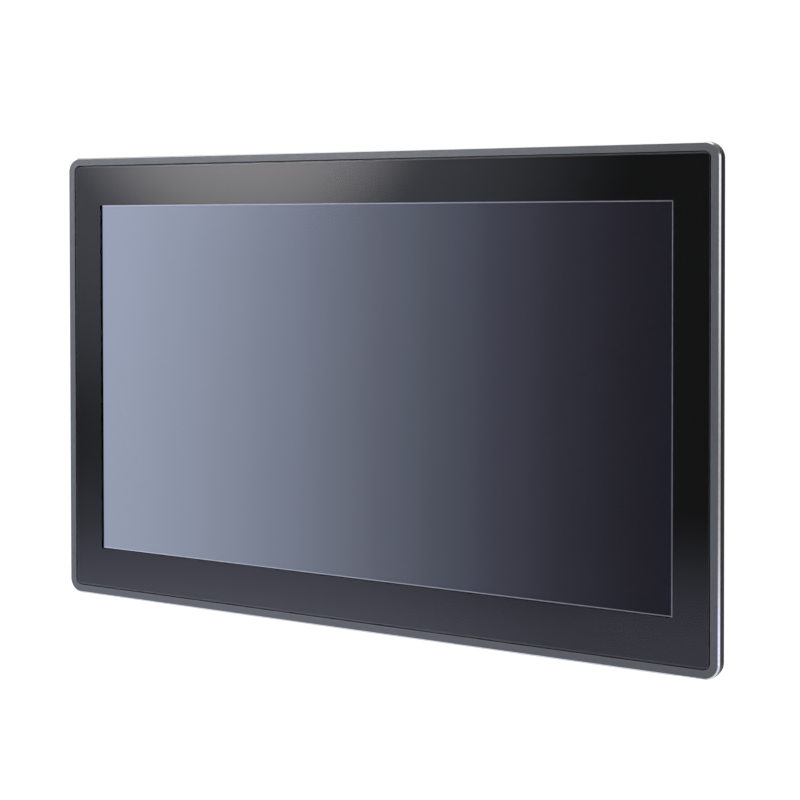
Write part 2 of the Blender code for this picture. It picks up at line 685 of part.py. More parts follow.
def io_windows():
    openings = []
    for name, (port, _) in PORTS.items():
        openings.append(wall_window("opening", IO_X[name], port["width"] + 2 * PORT_FIT,
                                    PARTS_ON_BOARD - PORT_FIT,
                                    PARTS_ON_BOARD + port["tall"] + PORT_FIT))
    for name, radius in (("power_button", BUTTON_R), ("power_led", LED_R), ("reset_button", RESET_R),
                         ("earth_stud", STUD_R)):
        openings.append(wall_bore("opening", IO_X[name], radius + CONTROL_FIT))
    half = SWITCH_KNOB_D / 2 + CONTROL_FIT
    openings.append(wall_window("opening", IO_X["mode_switch"],
                                SWITCH_KNOB_W + SWITCH_TRAVEL + 2 * CONTROL_FIT,
                                CONTROL_STATION - half, CONTROL_STATION + half))
    return gang("io_windows", openings)


def hinge_ears():
    """Round ears on the wall beside both ends of the drive door."""
    ears = []
    for side in (-1, 1):
        z = DRIVE_Z + side * (DOOR_H / 2 + GAP + EAR_L / 2)
        inner = BOX_W / 2 - BOX_WALL / 2
        web = slab("web", HINGE_X - inner, EAR_L, HINGE_STATION - KNUCKLE_R / 2,
                   HINGE_STATION + KNUCKLE_R / 2, x=(HINGE_X + inner) / 2, z=z)
        knuckle = rod("knuckle", KNUCKLE_R, (HINGE_X, HINGE_STATION, z - EAR_L / 2),
                      (HINGE_X, HINGE_STATION, z + EAR_L / 2))
        ears += [web, knuckle]
    return ears


def hinge_bore(name):
    reach = DOOR_H / 2 + GAP + EAR_L + OVERSHOOT
    return rod(name, KNUCKLE_BORE_R, (HINGE_X, HINGE_STATION, DRIVE_Z - reach),
               (HINGE_X, HINGE_STATION, DRIVE_Z + reach))


def electronics_box():
    box = slab("electronics_box", BOX_W, BOX_H, BOX_FRONT, BOX_BACK, radius=BOX_RADIUS)
    floor = BOX_FRONT + BOX_WALL
    hollow = slab("box_hollow", 2 * INNER_X, 2 * INNER_Z, floor, BOX_BACK + OVERSHOOT)
    window = slab("box_window", 2 * (INNER_X - BOX_FLANGE), 2 * (INNER_Z - BOX_FLANGE),
                  BOX_FRONT - OVERSHOOT, floor + OVERSHOOT)
    cut(box, hollow, window)
    block = BOX_BLOCK + BOX_WALL / 2
    shift = BOX_WALL / 4
    blocks = [slab("block", block, block, floor - BOX_WALL / 2, BOX_BACK,
                   x=math.copysign(COVER_SCREW_X + shift, x), z=math.copysign(COVER_SCREW_Z + shift, z))
              for x, z in four_corners(1.0, 1.0)]
    fuse(box, gang("box_blocks", blocks), *hinge_ears())
    bottom = COVER_FLOOR - COVER_SCREW_L - TIP_CLEARANCE
    holes = [rod("hole", SCREW_HOLE_R, (x, bottom, z), (x, BOX_BACK + OVERSHOOT, z))
             for x, z in four_corners(COVER_SCREW_X, COVER_SCREW_Z)]
    vent_front = (BOX_FRONT + BOX_BACK - BOX_VENT_L) / 2
    vents = [slab("vent", VENT_W, 4 * BOX_WALL, vent_front, vent_front + BOX_VENT_L, x=x, z=BOX_H / 2)
             for x in spaced(BOX_VENTS, BOX_VENT_PITCH * (BOX_VENTS - 1))]
    drive_window = slab("drive_window", 4 * BOX_WALL, DRIVE_WINDOW_H,
                        THUMB_STATION - DRIVE_WINDOW_W / 2, THUMB_STATION + DRIVE_WINDOW_W / 2,
                        x=BOX_W / 2, z=DRIVE_Z)
    thumb_hole = rod("thumb_hole", THUMB_HOLE_R, (BOX_W / 2 - 2 * BOX_WALL, THUMB_STATION, THUMB_Z),
                     (BOX_W / 2 + BOX_WALL, THUMB_STATION, THUMB_Z))
    cut(box, gang("box_screw_holes", holes), gang("box_vents", vents), io_windows(), drive_window,
        thumb_hole, hinge_bore("box_hinge_bore"))
    finish(box, POWDER_COAT)


def heatsink_cover():
    cover = slab("heatsink_cover", BOX_W, BOX_H, COVER_FRONT, DEPTH - PAD_PROUD, radius=BOX_RADIUS)
    groove = FIN_PITCH - FIN_T
    count = int((BOX_W - FIN_T) / FIN_PITCH)
    past_edge = BOX_H / 2 + OVERSHOOT
    grooves = []
    for x in spaced(count, FIN_PITCH * (count - 1)):
        if abs(x) - groove / 2 < PAD / 2:
            height = past_edge - PAD / 2
            for side in (-1, 1):
                z = side * (PAD / 2 + height / 2)
                grooves.append(slab("groove", groove, height, COVER_FLOOR, DEPTH + OVERSHOOT, x=x, z=z))
        else:
            grooves.append(slab("groove", groove, 2 * past_edge, COVER_FLOOR, DEPTH + OVERSHOOT, x=x))
    cut(cover, gang("fin_grooves", grooves))
    fuse(cover, slab("mounting_pad", PAD, PAD, COVER_FLOOR - COVER_PLATE / 2, DEPTH))
    corners = four_corners(COVER_SCREW_X, COVER_SCREW_Z)
    pockets = [rod("pocket", SCREW_POCKET_R, (x, COVER_FLOOR, z), (x, DEPTH + OVERSHOOT, z))
               for x, z in corners]
    holes = [rod("hole", SCREW_HOLE_R, (x, COVER_FRONT - OVERSHOOT, z), (x, DEPTH, z)) for x, z in corners]
    bores = [rod("bore", INSERT_R + GAP / 2, (x, DEPTH - INSERT_L - TIP_CLEARANCE, z),
                 (x, DEPTH + OVERSHOOT, z)) for x, z in four_corners(VESA / 2, VESA / 2)]
    cut(cover, gang("cover_screw_pockets", pockets), gang("cover_screw_holes", holes),
        gang("insert_bores", bores))
    finish(cover, DARK_ANODISED)


# --- Electronics -----------------------------------------------------------------------------

def mainboard():
    board = slab("mainboard", BOARD_W, BOARD_TOP - BOARD_BOTTOM, BOARD_FRONT, BOARD_BACK,
                 z=(BOARD_TOP + BOARD_BOTTOM) / 2)
    holes = [rod("hole", SCREW_HOLE_R, (x, BOARD_FRONT - OVERSHOOT / 2, z), (x, BOARD_BACK + OVERSHOOT, z))
             for x, z in board_posts()]
    cut(board, gang("board_holes", holes))
    finish(board, CIRCUIT_BOARD)


def processor_and_cooling():
    place = {"x": PROCESSOR_X, "z": PROCESSOR_Z}
    top = PARTS_ON_BOARD + PROCESSOR_T
    finish(slab("processor", PROCESSOR, PROCESSOR, PARTS_ON_BOARD, top, **place), NICKEL)
    pad_front = top + GAP
    pad_back = pad_front + PAD_T
    finish(slab("thermal_pad", THERMAL_PAD, THERMAL_PAD, pad_front, pad_back, **place), GREY_PAD)
    block = slab("heat_block", HEAT_BLOCK, HEAT_BLOCK, pad_back + GAP, COVER_FRONT - GAP,
                 radius=2 * BOX_WALL, **place)
    finish(block, RAW_ALUMINIUM)


def memory():
    width, tall, long = MEMORY_SOCKET
    socket = slab("memory_socket", width, long, PARTS_ON_BOARD, PARTS_ON_BOARD + tall, x=MEMORY_X,
                  z=MEMORY_Z)
    module_w, module_t, module_h = MEMORY_MODULE
    front = PARTS_ON_BOARD + MEMORY_SLOT_LIFT
    bottom = MEMORY_Z + long / 2 - MEMORY_SLOT_DEPTH
    slot_h = MEMORY_SLOT_DEPTH + OVERSHOOT
    cut(socket, slab("memory_slot", module_w + 2 * GAP, slot_h, front - GAP, front + module_t + GAP,
                     x=MEMORY_X, z=bottom + slot_h / 2))
    finish(socket, BLACK_PLASTIC)
    module = slab("memory_module", module_w, module_h, front, front + module_t, x=MEMORY_X,
                  z=bottom + GAP + module_h / 2)
    finish(module, CIRCUIT_BOARD)


def backup_battery():
    top = PARTS_ON_BOARD + HOLDER_T
    seat = top - BATTERY_T

    def disc(name, radius, front, back):
        return rod(name, radius, (BATTERY_X, front, BATTERY_Z), (BATTERY_X, back, BATTERY_Z), ROUND_SIDES)
    holder = disc("battery_holder", HOLDER_R, PARTS_ON_BOARD, top)
    cut(holder, disc("battery_seat", BATTERY_R + GAP, seat, top + OVERSHOOT))
    finish(holder, BLACK_PLASTIC)
    cell = disc("backup_battery", BATTERY_R, seat + GAP, top + GAP)
    finish(cell, NICKEL)


def storage():
    length, thick, width = DRIVE
    drive = slab("storage_drive", length, width, DRIVE_STATION, DRIVE_STATION + thick, x=DRIVE_X, z=DRIVE_Z,
                 radius=BOX_WALL)
    finish(drive, RAW_ALUMINIUM)
    tray_back = DRIVE_STATION + thick / 2
    tray_front = DRIVE_STATION - GAP - DRIVE_TRAY_T
    outer = width + 2 * (GAP + DRIVE_TRAY_T)
    tray = slab("drive_tray", length, outer, tray_front, tray_back, x=DRIVE_X, z=DRIVE_Z)
    cut(tray, slab("drive_seat", length + 2 * OVERSHOOT, width + 2 * GAP, tray_front + DRIVE_TRAY_T,
                   tray_back + OVERSHOOT, x=DRIVE_X, z=DRIVE_Z))
    finish(tray, ZINC_STEEL)


# --- Drive door --------------------------------------------------------------------------------

def storage_door():
    door = slab("storage_door", DOOR_T, DOOR_H, DOOR_FRONT, HINGE_STATION, x=DOOR_MIDDLE_X, z=DRIVE_Z)
    knuckle = rod("door_knuckle", KNUCKLE_R, (HINGE_X, HINGE_STATION, DRIVE_Z - DOOR_H / 2),
                  (HINGE_X, HINGE_STATION, DRIVE_Z + DOOR_H / 2))
    fuse(door, knuckle)
    hole = rod("door_screw_hole", SCREW_HOLE_R, (BOX_W / 2, THUMB_STATION, THUMB_Z),
               (HINGE_X + KNUCKLE_R, THUMB_STATION, THUMB_Z))
    cut(door, hinge_bore("door_hinge_bore"), hole)
    move_origin(door, (HINGE_X, station_y(HINGE_STATION), DRIVE_Z))
    finish(door, POWDER_COAT)


def door_hinge_pin():
    reach = DOOR_H / 2 + GAP + EAR_L
    pin = rod("door_hinge_pin", PIN_R, (HINGE_X, HINGE_STATION, DRIVE_Z - reach),
              (HINGE_X, HINGE_STATION, DRIVE_Z + reach))
    finish(pin, ZINC_STEEL)


def door_thumbscrew():
    seat = BOX_W / 2 + DOOR_LIFT + DOOR_T + GAP
    head = rod("door_thumbscrew", THUMB_HEAD_R, (seat, THUMB_STATION, THUMB_Z),
               (seat + THUMB_HEAD_L, THUMB_STATION, THUMB_Z), ROUND_SIDES)
    shank = rod("thumbscrew_shank", THUMB_SHANK_R, (BOX_W / 2 - THUMB_REACH, THUMB_STATION, THUMB_Z),
                (seat + THUMB_HEAD_L / 2, THUMB_STATION, THUMB_Z))
    fuse(head, shank)
    finish(head, NICKEL)


# --- Sockets and controls -----------------------------------------------------------------------

def port(name, spec, look):
    """A socket on the mainboard whose mouth looks down through the lower wall."""
    x = IO_X[name]
    mouth = BOX_BOTTOM - PORT_PROUD
    back = PARTS_ON_BOARD + spec["tall"]
    body = slab(name, spec["width"], spec["long"], PARTS_ON_BOARD, back, x=x, z=mouth + spec["long"] / 2)
    if name == "serial_port":
        width, tall, thick = SERIAL_FLANGE
        middle = (PARTS_ON_BOARD + back) / 2
        fuse(body, slab("serial_flange", width, thick, middle - tall / 2, middle + tall / 2, x=x,
                        z=BOX_BOTTOM - GAP - thick / 2))
        mouth = BOX_BOTTOM - GAP - thick
    width, tall, deep = spec["hole"]
    middle = (PARTS_ON_BOARD + back) / 2
    reach = deep + OVERSHOOT
    cut(body, slab(name + "_mouth", width, reach, middle - tall / 2, middle + tall / 2, x=x,
                   z=mouth - OVERSHOOT + reach / 2))
    finish(body, look)


def control(name, radius, proud, length, look, sides=ROUND_SIDES):
    """A round control on an upright axis that stands out of the lower wall."""
    tip = BOX_BOTTOM - proud
    x = IO_X[name]
    finish(rod(name, radius, (x, CONTROL_STATION, tip), (x, CONTROL_STATION, tip + length), sides), look)


def controls():
    control("power_button", BUTTON_R, BUTTON_PROUD, BUTTON_L, BLACK_PLASTIC)
    control("power_led", LED_R, LED_PROUD, LED_L, GREEN_LENS, SMALL_SIDES)
    control("reset_button", RESET_R, RESET_PROUD, RESET_L, BLACK_PLASTIC, SMALL_SIDES)
    half = SWITCH_KNOB_D / 2
    knob = slab("mode_switch", SWITCH_KNOB_W, SWITCH_L, CONTROL_STATION - half, CONTROL_STATION + half,
                x=IO_X["mode_switch"] - SWITCH_TRAVEL / 2, z=BOX_BOTTOM - SWITCH_PROUD + SWITCH_L / 2)
    finish(knob, BLACK_PLASTIC)


def earth_point():
    def upright(name, radius, bottom, top, sides=SMALL_SIDES):
        x = IO_X["earth_stud"]
        return rod(name, radius, (x, CONTROL_STATION, bottom), (x, CONTROL_STATION, top), sides)
    inside = BOX_BOTTOM + BOX_WALL + GAP
    stud = upright("earth_stud", STUD_R, BOX_BOTTOM - STUD_L, inside + STUD_HEAD_T / 2)
    fuse(stud, upright("stud_head", NUT_R - GAP, inside, inside + STUD_HEAD_T, HEX))
    finish(stud, BRASS)
    face = BOX_BOTTOM - GAP
    nut = upright("earth_nut", NUT_R, face - NUT_T, face, HEX)
    cut(nut, upright("nut_thread", STUD_R + GAP, face - NUT_T - OVERSHOOT, face + OVERSHOOT))
    finish(nut, BRASS)


# --- Fasteners and cables ------------------------------------------------------------------------

def socket_screw(name, x, z, seat, length):
    """A cap screw that bears on the station called seat and points forwards."""
    top = seat + GAP + SCREW_HEAD_T
    screw = rod(name, SCREW_HEAD_R, (x, seat + GAP, z), (x, top, z))
    root = seat + GAP + SCREW_HEAD_T / 2
    fuse(screw, rod(name + "_shank", SCREW_SHANK_R, (x, seat - length, z), (x, root, z)))
    cut(screw, rod(name + "_key", SCREW_KEY_R, (x, top - SCREW_KEY_DEPTH, z), (x, top + OVERSHOOT, z), HEX))
    finish(screw, ZINC_STEEL)


def fasteners():
    for index, (x, z) in enumerate(four_corners(BOSS_X, BOSS_Z), start=1):
        socket_screw(f"housing_screw_{index}", x, z, PAN_BACK, HOUSING_SCREW_L)
    for index, (x, z) in enumerate(four_corners(COVER_SCREW_X, COVER_SCREW_Z), start=1):
        socket_screw(f"cover_screw_{index}", x, z, COVER_FLOOR, COVER_SCREW_L)
    back = DEPTH - GAP
    for index, (x, z) in enumerate(four_corners(VESA / 2, VESA / 2), start=1):
        insert = rod(f"vesa_insert_{index}", INSERT_R, (x, back - INSERT_L, z), (x, back, z))
        cut(insert, rod(f"insert_thread_{index}", INSERT_BORE_R, (x, back - INSERT_L - OVERSHOOT, z),
                        (x, back + OVERSHOOT, z)))
        finish(insert, BRASS)


def smooth_route(points, samples):
    """Points read from a smooth curve through the route's own points."""
    ends = [points[0], *points, points[-1]]
    route = []
    for i in range(samples):
        t = i / (samples - 1) * (len(points) - 1)
        k = min(int(t), len(points) - 2)
        u = t - k
        a, b, c, d = (Vector(p) for p in ends[k:k + 4])
        route.append(0.5 * (2 * b + (c - a) * u + (2 * a - 5 * b + 4 * c - d) * u ** 2
                            + (3 * b - a - 3 * c + d) * u ** 3))
    return route


def cable(name, stations):
    """A round cable through (x, station, z) points."""
    points = [(x, station_y(station), z) for x, station, z in stations]
    curve = bpy.data.curves.new(name, "CURVE")
    curve.dimensions = "3D"
    curve.bevel_depth = CABLE_R
    curve.bevel_resolution = 2
    curve.use_fill_caps = True
    spline = curve.splines.new("POLY")
    route = smooth_route(points, CABLE_SAMPLES)
    spline.points.add(len(route) - 1)
    for point, place in zip(spline.points, route):
        point.co = (*place, 1.0)
    obj = bpy.data.objects.new(name, curve)
    PARTS.objects.link(obj)
    finish(obj, BLACK_PLASTIC)


def over_the_board(x):
    """The end of a cable's route, through the passage and down to the mainboard."""
    lifted = BOARD_BACK + CABLE_LIFT
    return [(x, PAN_BACK - CABLE_EASE, CABLE_LANE_Z),
            (x, BOARD_BACK, CABLE_LANE_Z),
            (x, lifted, BOARD_TOP + 2 * CABLE_EASE),
            (x, lifted - 2 * CABLE_R, BOARD_TOP - CABLE_EASE),
            (x, PARTS_ON_BOARD + CABLE_R, BOARD_TOP - CABLE_LANDING)]


def cables():
    hover = (MODULE_BACK + PAN_BACK) / 2
    middle = PROCESSOR_X
    cable("display_cable", [(middle, ON_MODULE, TIMING_BOARD_Z + TIMING_EXIT),
                            (middle, hover, TIMING_BOARD_Z),
                            *over_the_board(middle)])
    cable("touch_cable", [(TOUCH_BOARD_X + TOUCH_EXIT[0], ON_MODULE, TOUCH_BOARD_Z + TOUCH_EXIT[1]),
                          (TOUCH_BOARD_X + TOUCH_BEND[0], hover, TOUCH_BOARD_Z + TOUCH_BEND[1]),
                          (middle - CABLE_SPREAD, hover, CABLE_TURN_Z),
                          *over_the_board(middle + TOUCH_LANDING)])
    on_tray = MODULE_BACK + GAP + CABLE_R
    cable("backlight_cable", [(MODULE_W / 2 - LAMP_EXIT[0], on_tray, LAMP_EXIT[1] - MODULE_H / 2),
                              (MODULE_W / 2 - LAMP_BEND[0], hover, LAMP_BEND[1] - MODULE_H / 2),
                              (middle + CABLE_SPREAD, hover, CABLE_TURN_Z),
                              *over_the_board(middle + CABLE_STEP)])


def build():
    front_bezel()
    cover_glass()
    glass_tape()
    touch_sensor()
    panel_gasket()
    lcd_cell()
    middle_frame()
    backlight_tray()
    backlight()
    lcd_brackets()
    module_boards()
    rear_housing()
    electronics_box()
    heatsink_cover()
    mainboard()
    processor_and_cooling()
    memory()
    backup_battery()
    storage()
    storage_door()
    door_hinge_pin()
    door_thumbscrew()
    for name, (spec, look) in PORTS.items():
        port(name, spec, look)
    controls()
    earth_point()
    fasteners()
    cables()


build()
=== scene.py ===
"""The looks of a flush-glass operator panel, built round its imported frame."""

import json
import math

import bmesh
import bpy
from mathutils import Matrix, Vector

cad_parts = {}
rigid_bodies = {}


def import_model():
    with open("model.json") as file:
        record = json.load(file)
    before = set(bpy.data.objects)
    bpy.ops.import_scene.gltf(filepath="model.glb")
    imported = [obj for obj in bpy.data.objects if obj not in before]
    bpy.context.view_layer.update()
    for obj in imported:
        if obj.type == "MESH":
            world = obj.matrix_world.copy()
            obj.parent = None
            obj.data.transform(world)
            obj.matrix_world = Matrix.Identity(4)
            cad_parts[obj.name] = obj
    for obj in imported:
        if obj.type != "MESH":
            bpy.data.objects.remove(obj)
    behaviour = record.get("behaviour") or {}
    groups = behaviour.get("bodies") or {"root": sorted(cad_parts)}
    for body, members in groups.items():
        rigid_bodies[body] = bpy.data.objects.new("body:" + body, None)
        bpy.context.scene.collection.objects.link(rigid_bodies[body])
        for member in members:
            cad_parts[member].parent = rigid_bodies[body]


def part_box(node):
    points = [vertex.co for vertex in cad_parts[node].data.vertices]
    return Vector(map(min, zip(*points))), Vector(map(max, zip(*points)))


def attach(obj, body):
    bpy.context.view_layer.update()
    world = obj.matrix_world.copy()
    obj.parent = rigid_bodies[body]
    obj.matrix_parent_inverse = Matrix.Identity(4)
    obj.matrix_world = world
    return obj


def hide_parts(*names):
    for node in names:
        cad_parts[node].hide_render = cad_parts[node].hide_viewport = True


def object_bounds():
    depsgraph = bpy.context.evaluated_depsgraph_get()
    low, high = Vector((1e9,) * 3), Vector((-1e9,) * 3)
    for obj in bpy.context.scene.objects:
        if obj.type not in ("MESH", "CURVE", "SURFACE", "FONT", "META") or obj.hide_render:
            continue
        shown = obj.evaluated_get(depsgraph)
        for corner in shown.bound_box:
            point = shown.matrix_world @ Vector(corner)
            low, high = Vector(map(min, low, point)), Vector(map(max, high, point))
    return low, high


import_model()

CAD_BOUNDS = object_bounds()
PANEL = "panel"

# What the frame doesn't say, in metres
CLEARANCE = 0.0003             # air between two pieces that touch
CHAMFER = 0.0012               # polished edge round the bezel's front
BEZEL_CORNER = 0.011
OPENING_CORNER = 0.0046
SEAM = 0.0006                  # joint between glass and bezel
SEAM_BREAK = 0.00025           # broken edge round the opening
REST = 0.00017                 # the glass rests this much nearer to the lower left of its opening
LEDGE_CLEARANCE = 0.0017       # between the display module and the bezel's ledge
SCREW_HOLE = 0.0018            # radius
ARC = 20                       # facets round a large corner
CUT = 0.002                    # how far a cutting tool passes a face
MERGE_DISTANCE = 1e-6
MERGE_ANGLE = 0.5              # degrees between two triangles of one face


# --- Modelling helpers -----------------------------------------------------------------

def deselect():
    bpy.ops.object.select_all(action="DESELECT")


def activate(piece):
    deselect()
    piece.select_set(True)
    bpy.context.view_layer.objects.active = piece


def settle(name):
    """Name the new object and put its place into its mesh."""
    piece = bpy.context.active_object
    piece.name = name
    piece.data.name = name
    bpy.ops.object.transform_apply(location=True, rotation=True, scale=True)
    return piece


def block(name, low, high):
    """A box between its lowest and highest corners."""
    deselect()
    low = Vector(low)
    high = Vector(high)
    bpy.ops.mesh.primitive_cube_add(size=1.0, location=(low + high) / 2, scale=high - low)
    return settle(name)


def bar(name, radius, start, end, sides=32):
    """A round bar between two points."""
    deselect()
    start = Vector(start)
    end = Vector(end)
    turn = Vector((0.0, 0.0, 1.0)).rotation_difference(end - start).to_euler()
    bpy.ops.mesh.primitive_cylinder_add(vertices=sides, radius=radius, depth=(end - start).length,
                                        location=(start + end) / 2, rotation=turn)
    return settle(name)


def edit(piece, kind, pick):
    """Go into edit mode with each edge or face selected for which pick is true; kind is EDGE or FACE."""
    activate(piece)
    bpy.ops.object.mode_set(mode="EDIT")
    bpy.ops.mesh.select_mode(type=kind)
    bpy.ops.mesh.select_all(action="DESELECT")
    cage = bmesh.from_edit_mesh(piece.data)
    for element in (cage.edges if kind == "EDGE" else cage.faces):
        element.select_set(bool(pick(element)))
    bmesh.update_edit_mesh(piece.data)


def leave_edit():
    bpy.ops.object.mode_set(mode="OBJECT")


def bevel_edges(piece, pick, width, segments=1):
    edit(piece, "EDGE", pick)
    bpy.ops.mesh.bevel(offset=width, offset_type="OFFSET", segments=segments, profile=0.5, affect="EDGES")
    leave_edit()


def runs_along(axis):
    """True for an edge that runs along an axis, 0 to 2."""
    def pick(edge):
        along = edge.verts[1].co - edge.verts[0].co
        return abs(along[axis]) > 0.9 * along.length
    return pick


def lies_at(axis, place, tolerance=1e-5):
    """True for an edge or a face whose corners all lie at one place on an axis."""
    def pick(element):
        return all(abs(v.co[axis] - place) < tolerance for v in element.verts)
    return pick


def plate(name, low, high, radius=0.0, segments=ARC, axis=1):
    """A box whose four edges along one axis are rounded."""
    piece = block(name, low, high)
    if radius > 0.0:
        bevel_edges(piece, runs_along(axis), radius, segments)
    return piece


def apply_boolean(piece, tool, operation):
    activate(piece)
    modifier = piece.modifiers.new(operation, "BOOLEAN")
    modifier.operation = operation
    modifier.solver = "EXACT"
    modifier.object = tool
    bpy.ops.object.modifier_apply(modifier=modifier.name)
    bpy.data.objects.remove(tool, do_unlink=True)


def carve(piece, *tools):
    for tool in tools:
        apply_boolean(piece, tool, "DIFFERENCE")


def weld(piece, *tools):
    for tool in tools:
        apply_boolean(piece, tool, "UNION")


def join(name, pieces):
    """Several separate shapes as one object."""
    deselect()
    for piece in pieces:
        piece.select_set(True)
    bpy.context.view_layer.objects.active = pieces[0]
    if len(pieces) > 1:
        bpy.ops.object.join()
    pieces[0].name = name
    pieces[0].data.name = name
    return pieces[0]


def twin_of(source, name):
    """A copy with its own mesh."""
    twin = source.copy()
    twin.data = source.data.copy()
    twin.name = name
    twin.data.name = name
    bpy.context.collection.objects.link(twin)
    return twin


def copy_to(piece, name, shift):
    """A copy moved by shift."""
    twin = twin_of(piece, name)
    twin.data.transform(Matrix.Translation(Vector(shift)))
    return twin


def merged_copy(name, node):
    """A copy of a frame node whose loose triangles are merged into whole faces."""
    twin = twin_of(bpy.data.objects[node], name)
    twin.parent = None
    twin.matrix_world = Matrix.Identity(4)
    twin.hide_render = False
    edit(twin, "FACE", lambda face: True)
    bpy.ops.mesh.remove_doubles(threshold=MERGE_DISTANCE)
    bpy.ops.mesh.dissolve_limited(angle_limit=math.radians(MERGE_ANGLE))
    leave_edit()
    return twin


def soften(piece, width, segments=2, angle=30.0, worn=False):
    """Small rounds on every sharp edge; worn gives them the piece's second finish."""
    activate(piece)
    bevel = piece.modifiers.new("edges", "BEVEL")
    bevel.width = width
    bevel.segments = segments
    bevel.limit_method = "ANGLE"
    bevel.angle_limit = math.radians(angle)
    bevel.use_clamp_overlap = True
    if worn:
        while len(piece.data.materials) < 2:
            piece.data.materials.append(None)
        bevel.material = 1
    bpy.ops.object.modifier_apply(modifier=bevel.name)
    return smooth(piece, angle)


def smooth(piece, angle=30.0):
    """Smooth shading that keeps large faces flat up to their rounded edges."""
    activate(piece)
    bpy.ops.object.shade_smooth_by_angle(angle=math.radians(angle))
    flatten = piece.modifiers.new("flat faces", "WEIGHTED_NORMAL")
    flatten.mode = "FACE_AREA"
    flatten.weight = 100
    flatten.keep_sharp = True
    bpy.ops.object.modifier_apply(modifier=flatten.name)
    return piece


def place(piece, slot, *finishes, stands_for=(), body=PANEL):
    """Give a finished piece its finishes and its body; its slot is not used."""
    while len(piece.data.materials) < len(finishes):
        piece.data.materials.append(None)
    for index, finish in enumerate(finishes):
        piece.data.materials[index] = finish
    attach(piece, body)
    if stands_for:
        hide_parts(*stands_for)


def paint_faces(piece, index, pick):
    """Use the finish at index on each face for which pick(face) is true."""
    while len(piece.data.materials) <= index:
        piece.data.materials.append(None)
    for face in piece.data.polygons:
        if pick(face):
            face.material_index = index


def middle(node):
    low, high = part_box(node)
    return (low + high) / 2


# --- Finishes --------------------------------------------------------------------------

class Finish:
    """A Principled material and short ways to put patterns on its sockets."""

    def __init__(self, name, colour, roughness, metallic=0.0):
        self.material = bpy.data.materials.new(name)
        self.material.use_nodes = True
        self.tree = self.material.node_tree
        self.shader = self.tree.nodes["Principled BSDF"]
        self.set("Base Color", (*colour, 1.0))
        self.set("Roughness", roughness)
        self.set("Metallic", metallic)
        self.colour = colour
        self.place = self.node("ShaderNodeTexCoord").outputs["Object"]

    def set(self, socket, value):
        self.shader.inputs[socket].default_value = value

    def node(self, kind, **settings):
        made = self.tree.nodes.new(kind)
        for key, value in settings.items():
            setattr(made, key, value)
        return made

    def link(self, source, target):
        self.tree.links.new(source, target)

    def noise(self, scale, detail=2.0, stretch=(1.0, 1.0, 1.0)):
        mapping = self.node("ShaderNodeMapping")
        mapping.inputs["Scale"].default_value = stretch
        self.link(self.place, mapping.inputs["Vector"])
        texture = self.node("ShaderNodeTexNoise")
        texture.inputs["Scale"].default_value = scale
        texture.inputs["Detail"].default_value = detail
        self.link(mapping.outputs["Vector"], texture.inputs["Vector"])
        return texture.outputs["Fac"]

    def between(self, source, low, high, start=0.3, end=0.7):
        """Map a pattern onto a range of numbers."""
        ranged = self.node("ShaderNodeMapRange")
        for socket, value in (("From Min", start), ("From Max", end), ("To Min", low), ("To Max", high)):
            ranged.inputs[socket].default_value = value
        self.link(source, ranged.inputs["Value"])
        return ranged.outputs["Result"]

    def roughen(self, source, low, high):
        self.link(self.between(source, low, high), self.shader.inputs["Roughness"])

    def vary(self, source, amount):
        """Let the colour drift by a share of itself."""
        ramp = self.node("ShaderNodeValToRGB")
        for stop, position, share in zip(ramp.color_ramp.elements, (0.3, 0.7), (1.0 - amount, 1.0 + amount)):
            stop.position = position
            stop.color = (*(min(1.0, c * share) for c in self.colour), 1.0)
        self.link(source, ramp.inputs["Fac"])
        self.link(ramp.outputs["Color"], self.shader.inputs["Base Color"])

    def bump(self, source, height, strength=1.0):
        relief = self.node("ShaderNodeBump")
        relief.inputs["Strength"].default_value = strength
        relief.inputs["Distance"].default_value = height
        self.link(source, relief.inputs["Height"])
        self.link(relief.outputs["Normal"], self.shader.inputs["Normal"])


FINISHES = {}


def finish(name):
    """The finish called name, made when it is first asked for."""
    if name not in FINISHES:
        FINISHES[name] = FINISH_MAKERS[name](name).material
    return FINISHES[name]


def blasted_metal(colour, roughness, grain=0.00002):
    """Bead-blasted and anodised aluminium."""
    def make(name):
        metal = Finish(name, colour, roughness, metallic=1.0)
        speckle = metal.noise(2600.0, 3.0)
        metal.vary(speckle, 0.16)
        metal.roughen(metal.noise(900.0, 4.0), roughness - 0.05, roughness + 0.07)
        metal.bump(speckle, grain, 0.55)
        return metal
    return make


def polished_edge(name):
    metal = Finish(name, (0.86, 0.87, 0.90), 0.12, metallic=1.0)
    metal.vary(metal.noise(60.0), 0.03)
    metal.roughen(metal.noise(700.0, 3.0), 0.10, 0.17)
    metal.bump(metal.noise(5000.0, 1.0, (0.02, 1.0, 0.02)), 0.000002, 0.4)
    return metal


def powder_coat(colour):
    """Fine-textured powder coating on sheet steel."""
    def make(name):
        coat = Finish(name, colour, 0.55)
        peel = coat.noise(1500.0, 2.0)
        coat.vary(coat.noise(35.0, 4.0), 0.10)
        coat.roughen(coat.noise(420.0, 3.0), 0.48, 0.64)
        coat.bump(peel, 0.00006, 0.5)
        coat.set("Specular IOR Level", 0.45)
        return coat
    return make


def plated_metal(colour, roughness, drift=0.06):
    """Zinc, nickel or brass with a soft drift and fine rolling marks."""
    def make(name):
        metal = Finish(name, colour, roughness, metallic=1.0)
        metal.vary(metal.noise(180.0, 4.0), drift)
        metal.roughen(metal.noise(2400.0, 2.0), roughness - 0.03, roughness + 0.05)
        metal.bump(metal.noise(3600.0, 1.0, (1.0, 1.0, 0.08)), 0.0000015, 0.3)
        return metal
    return make


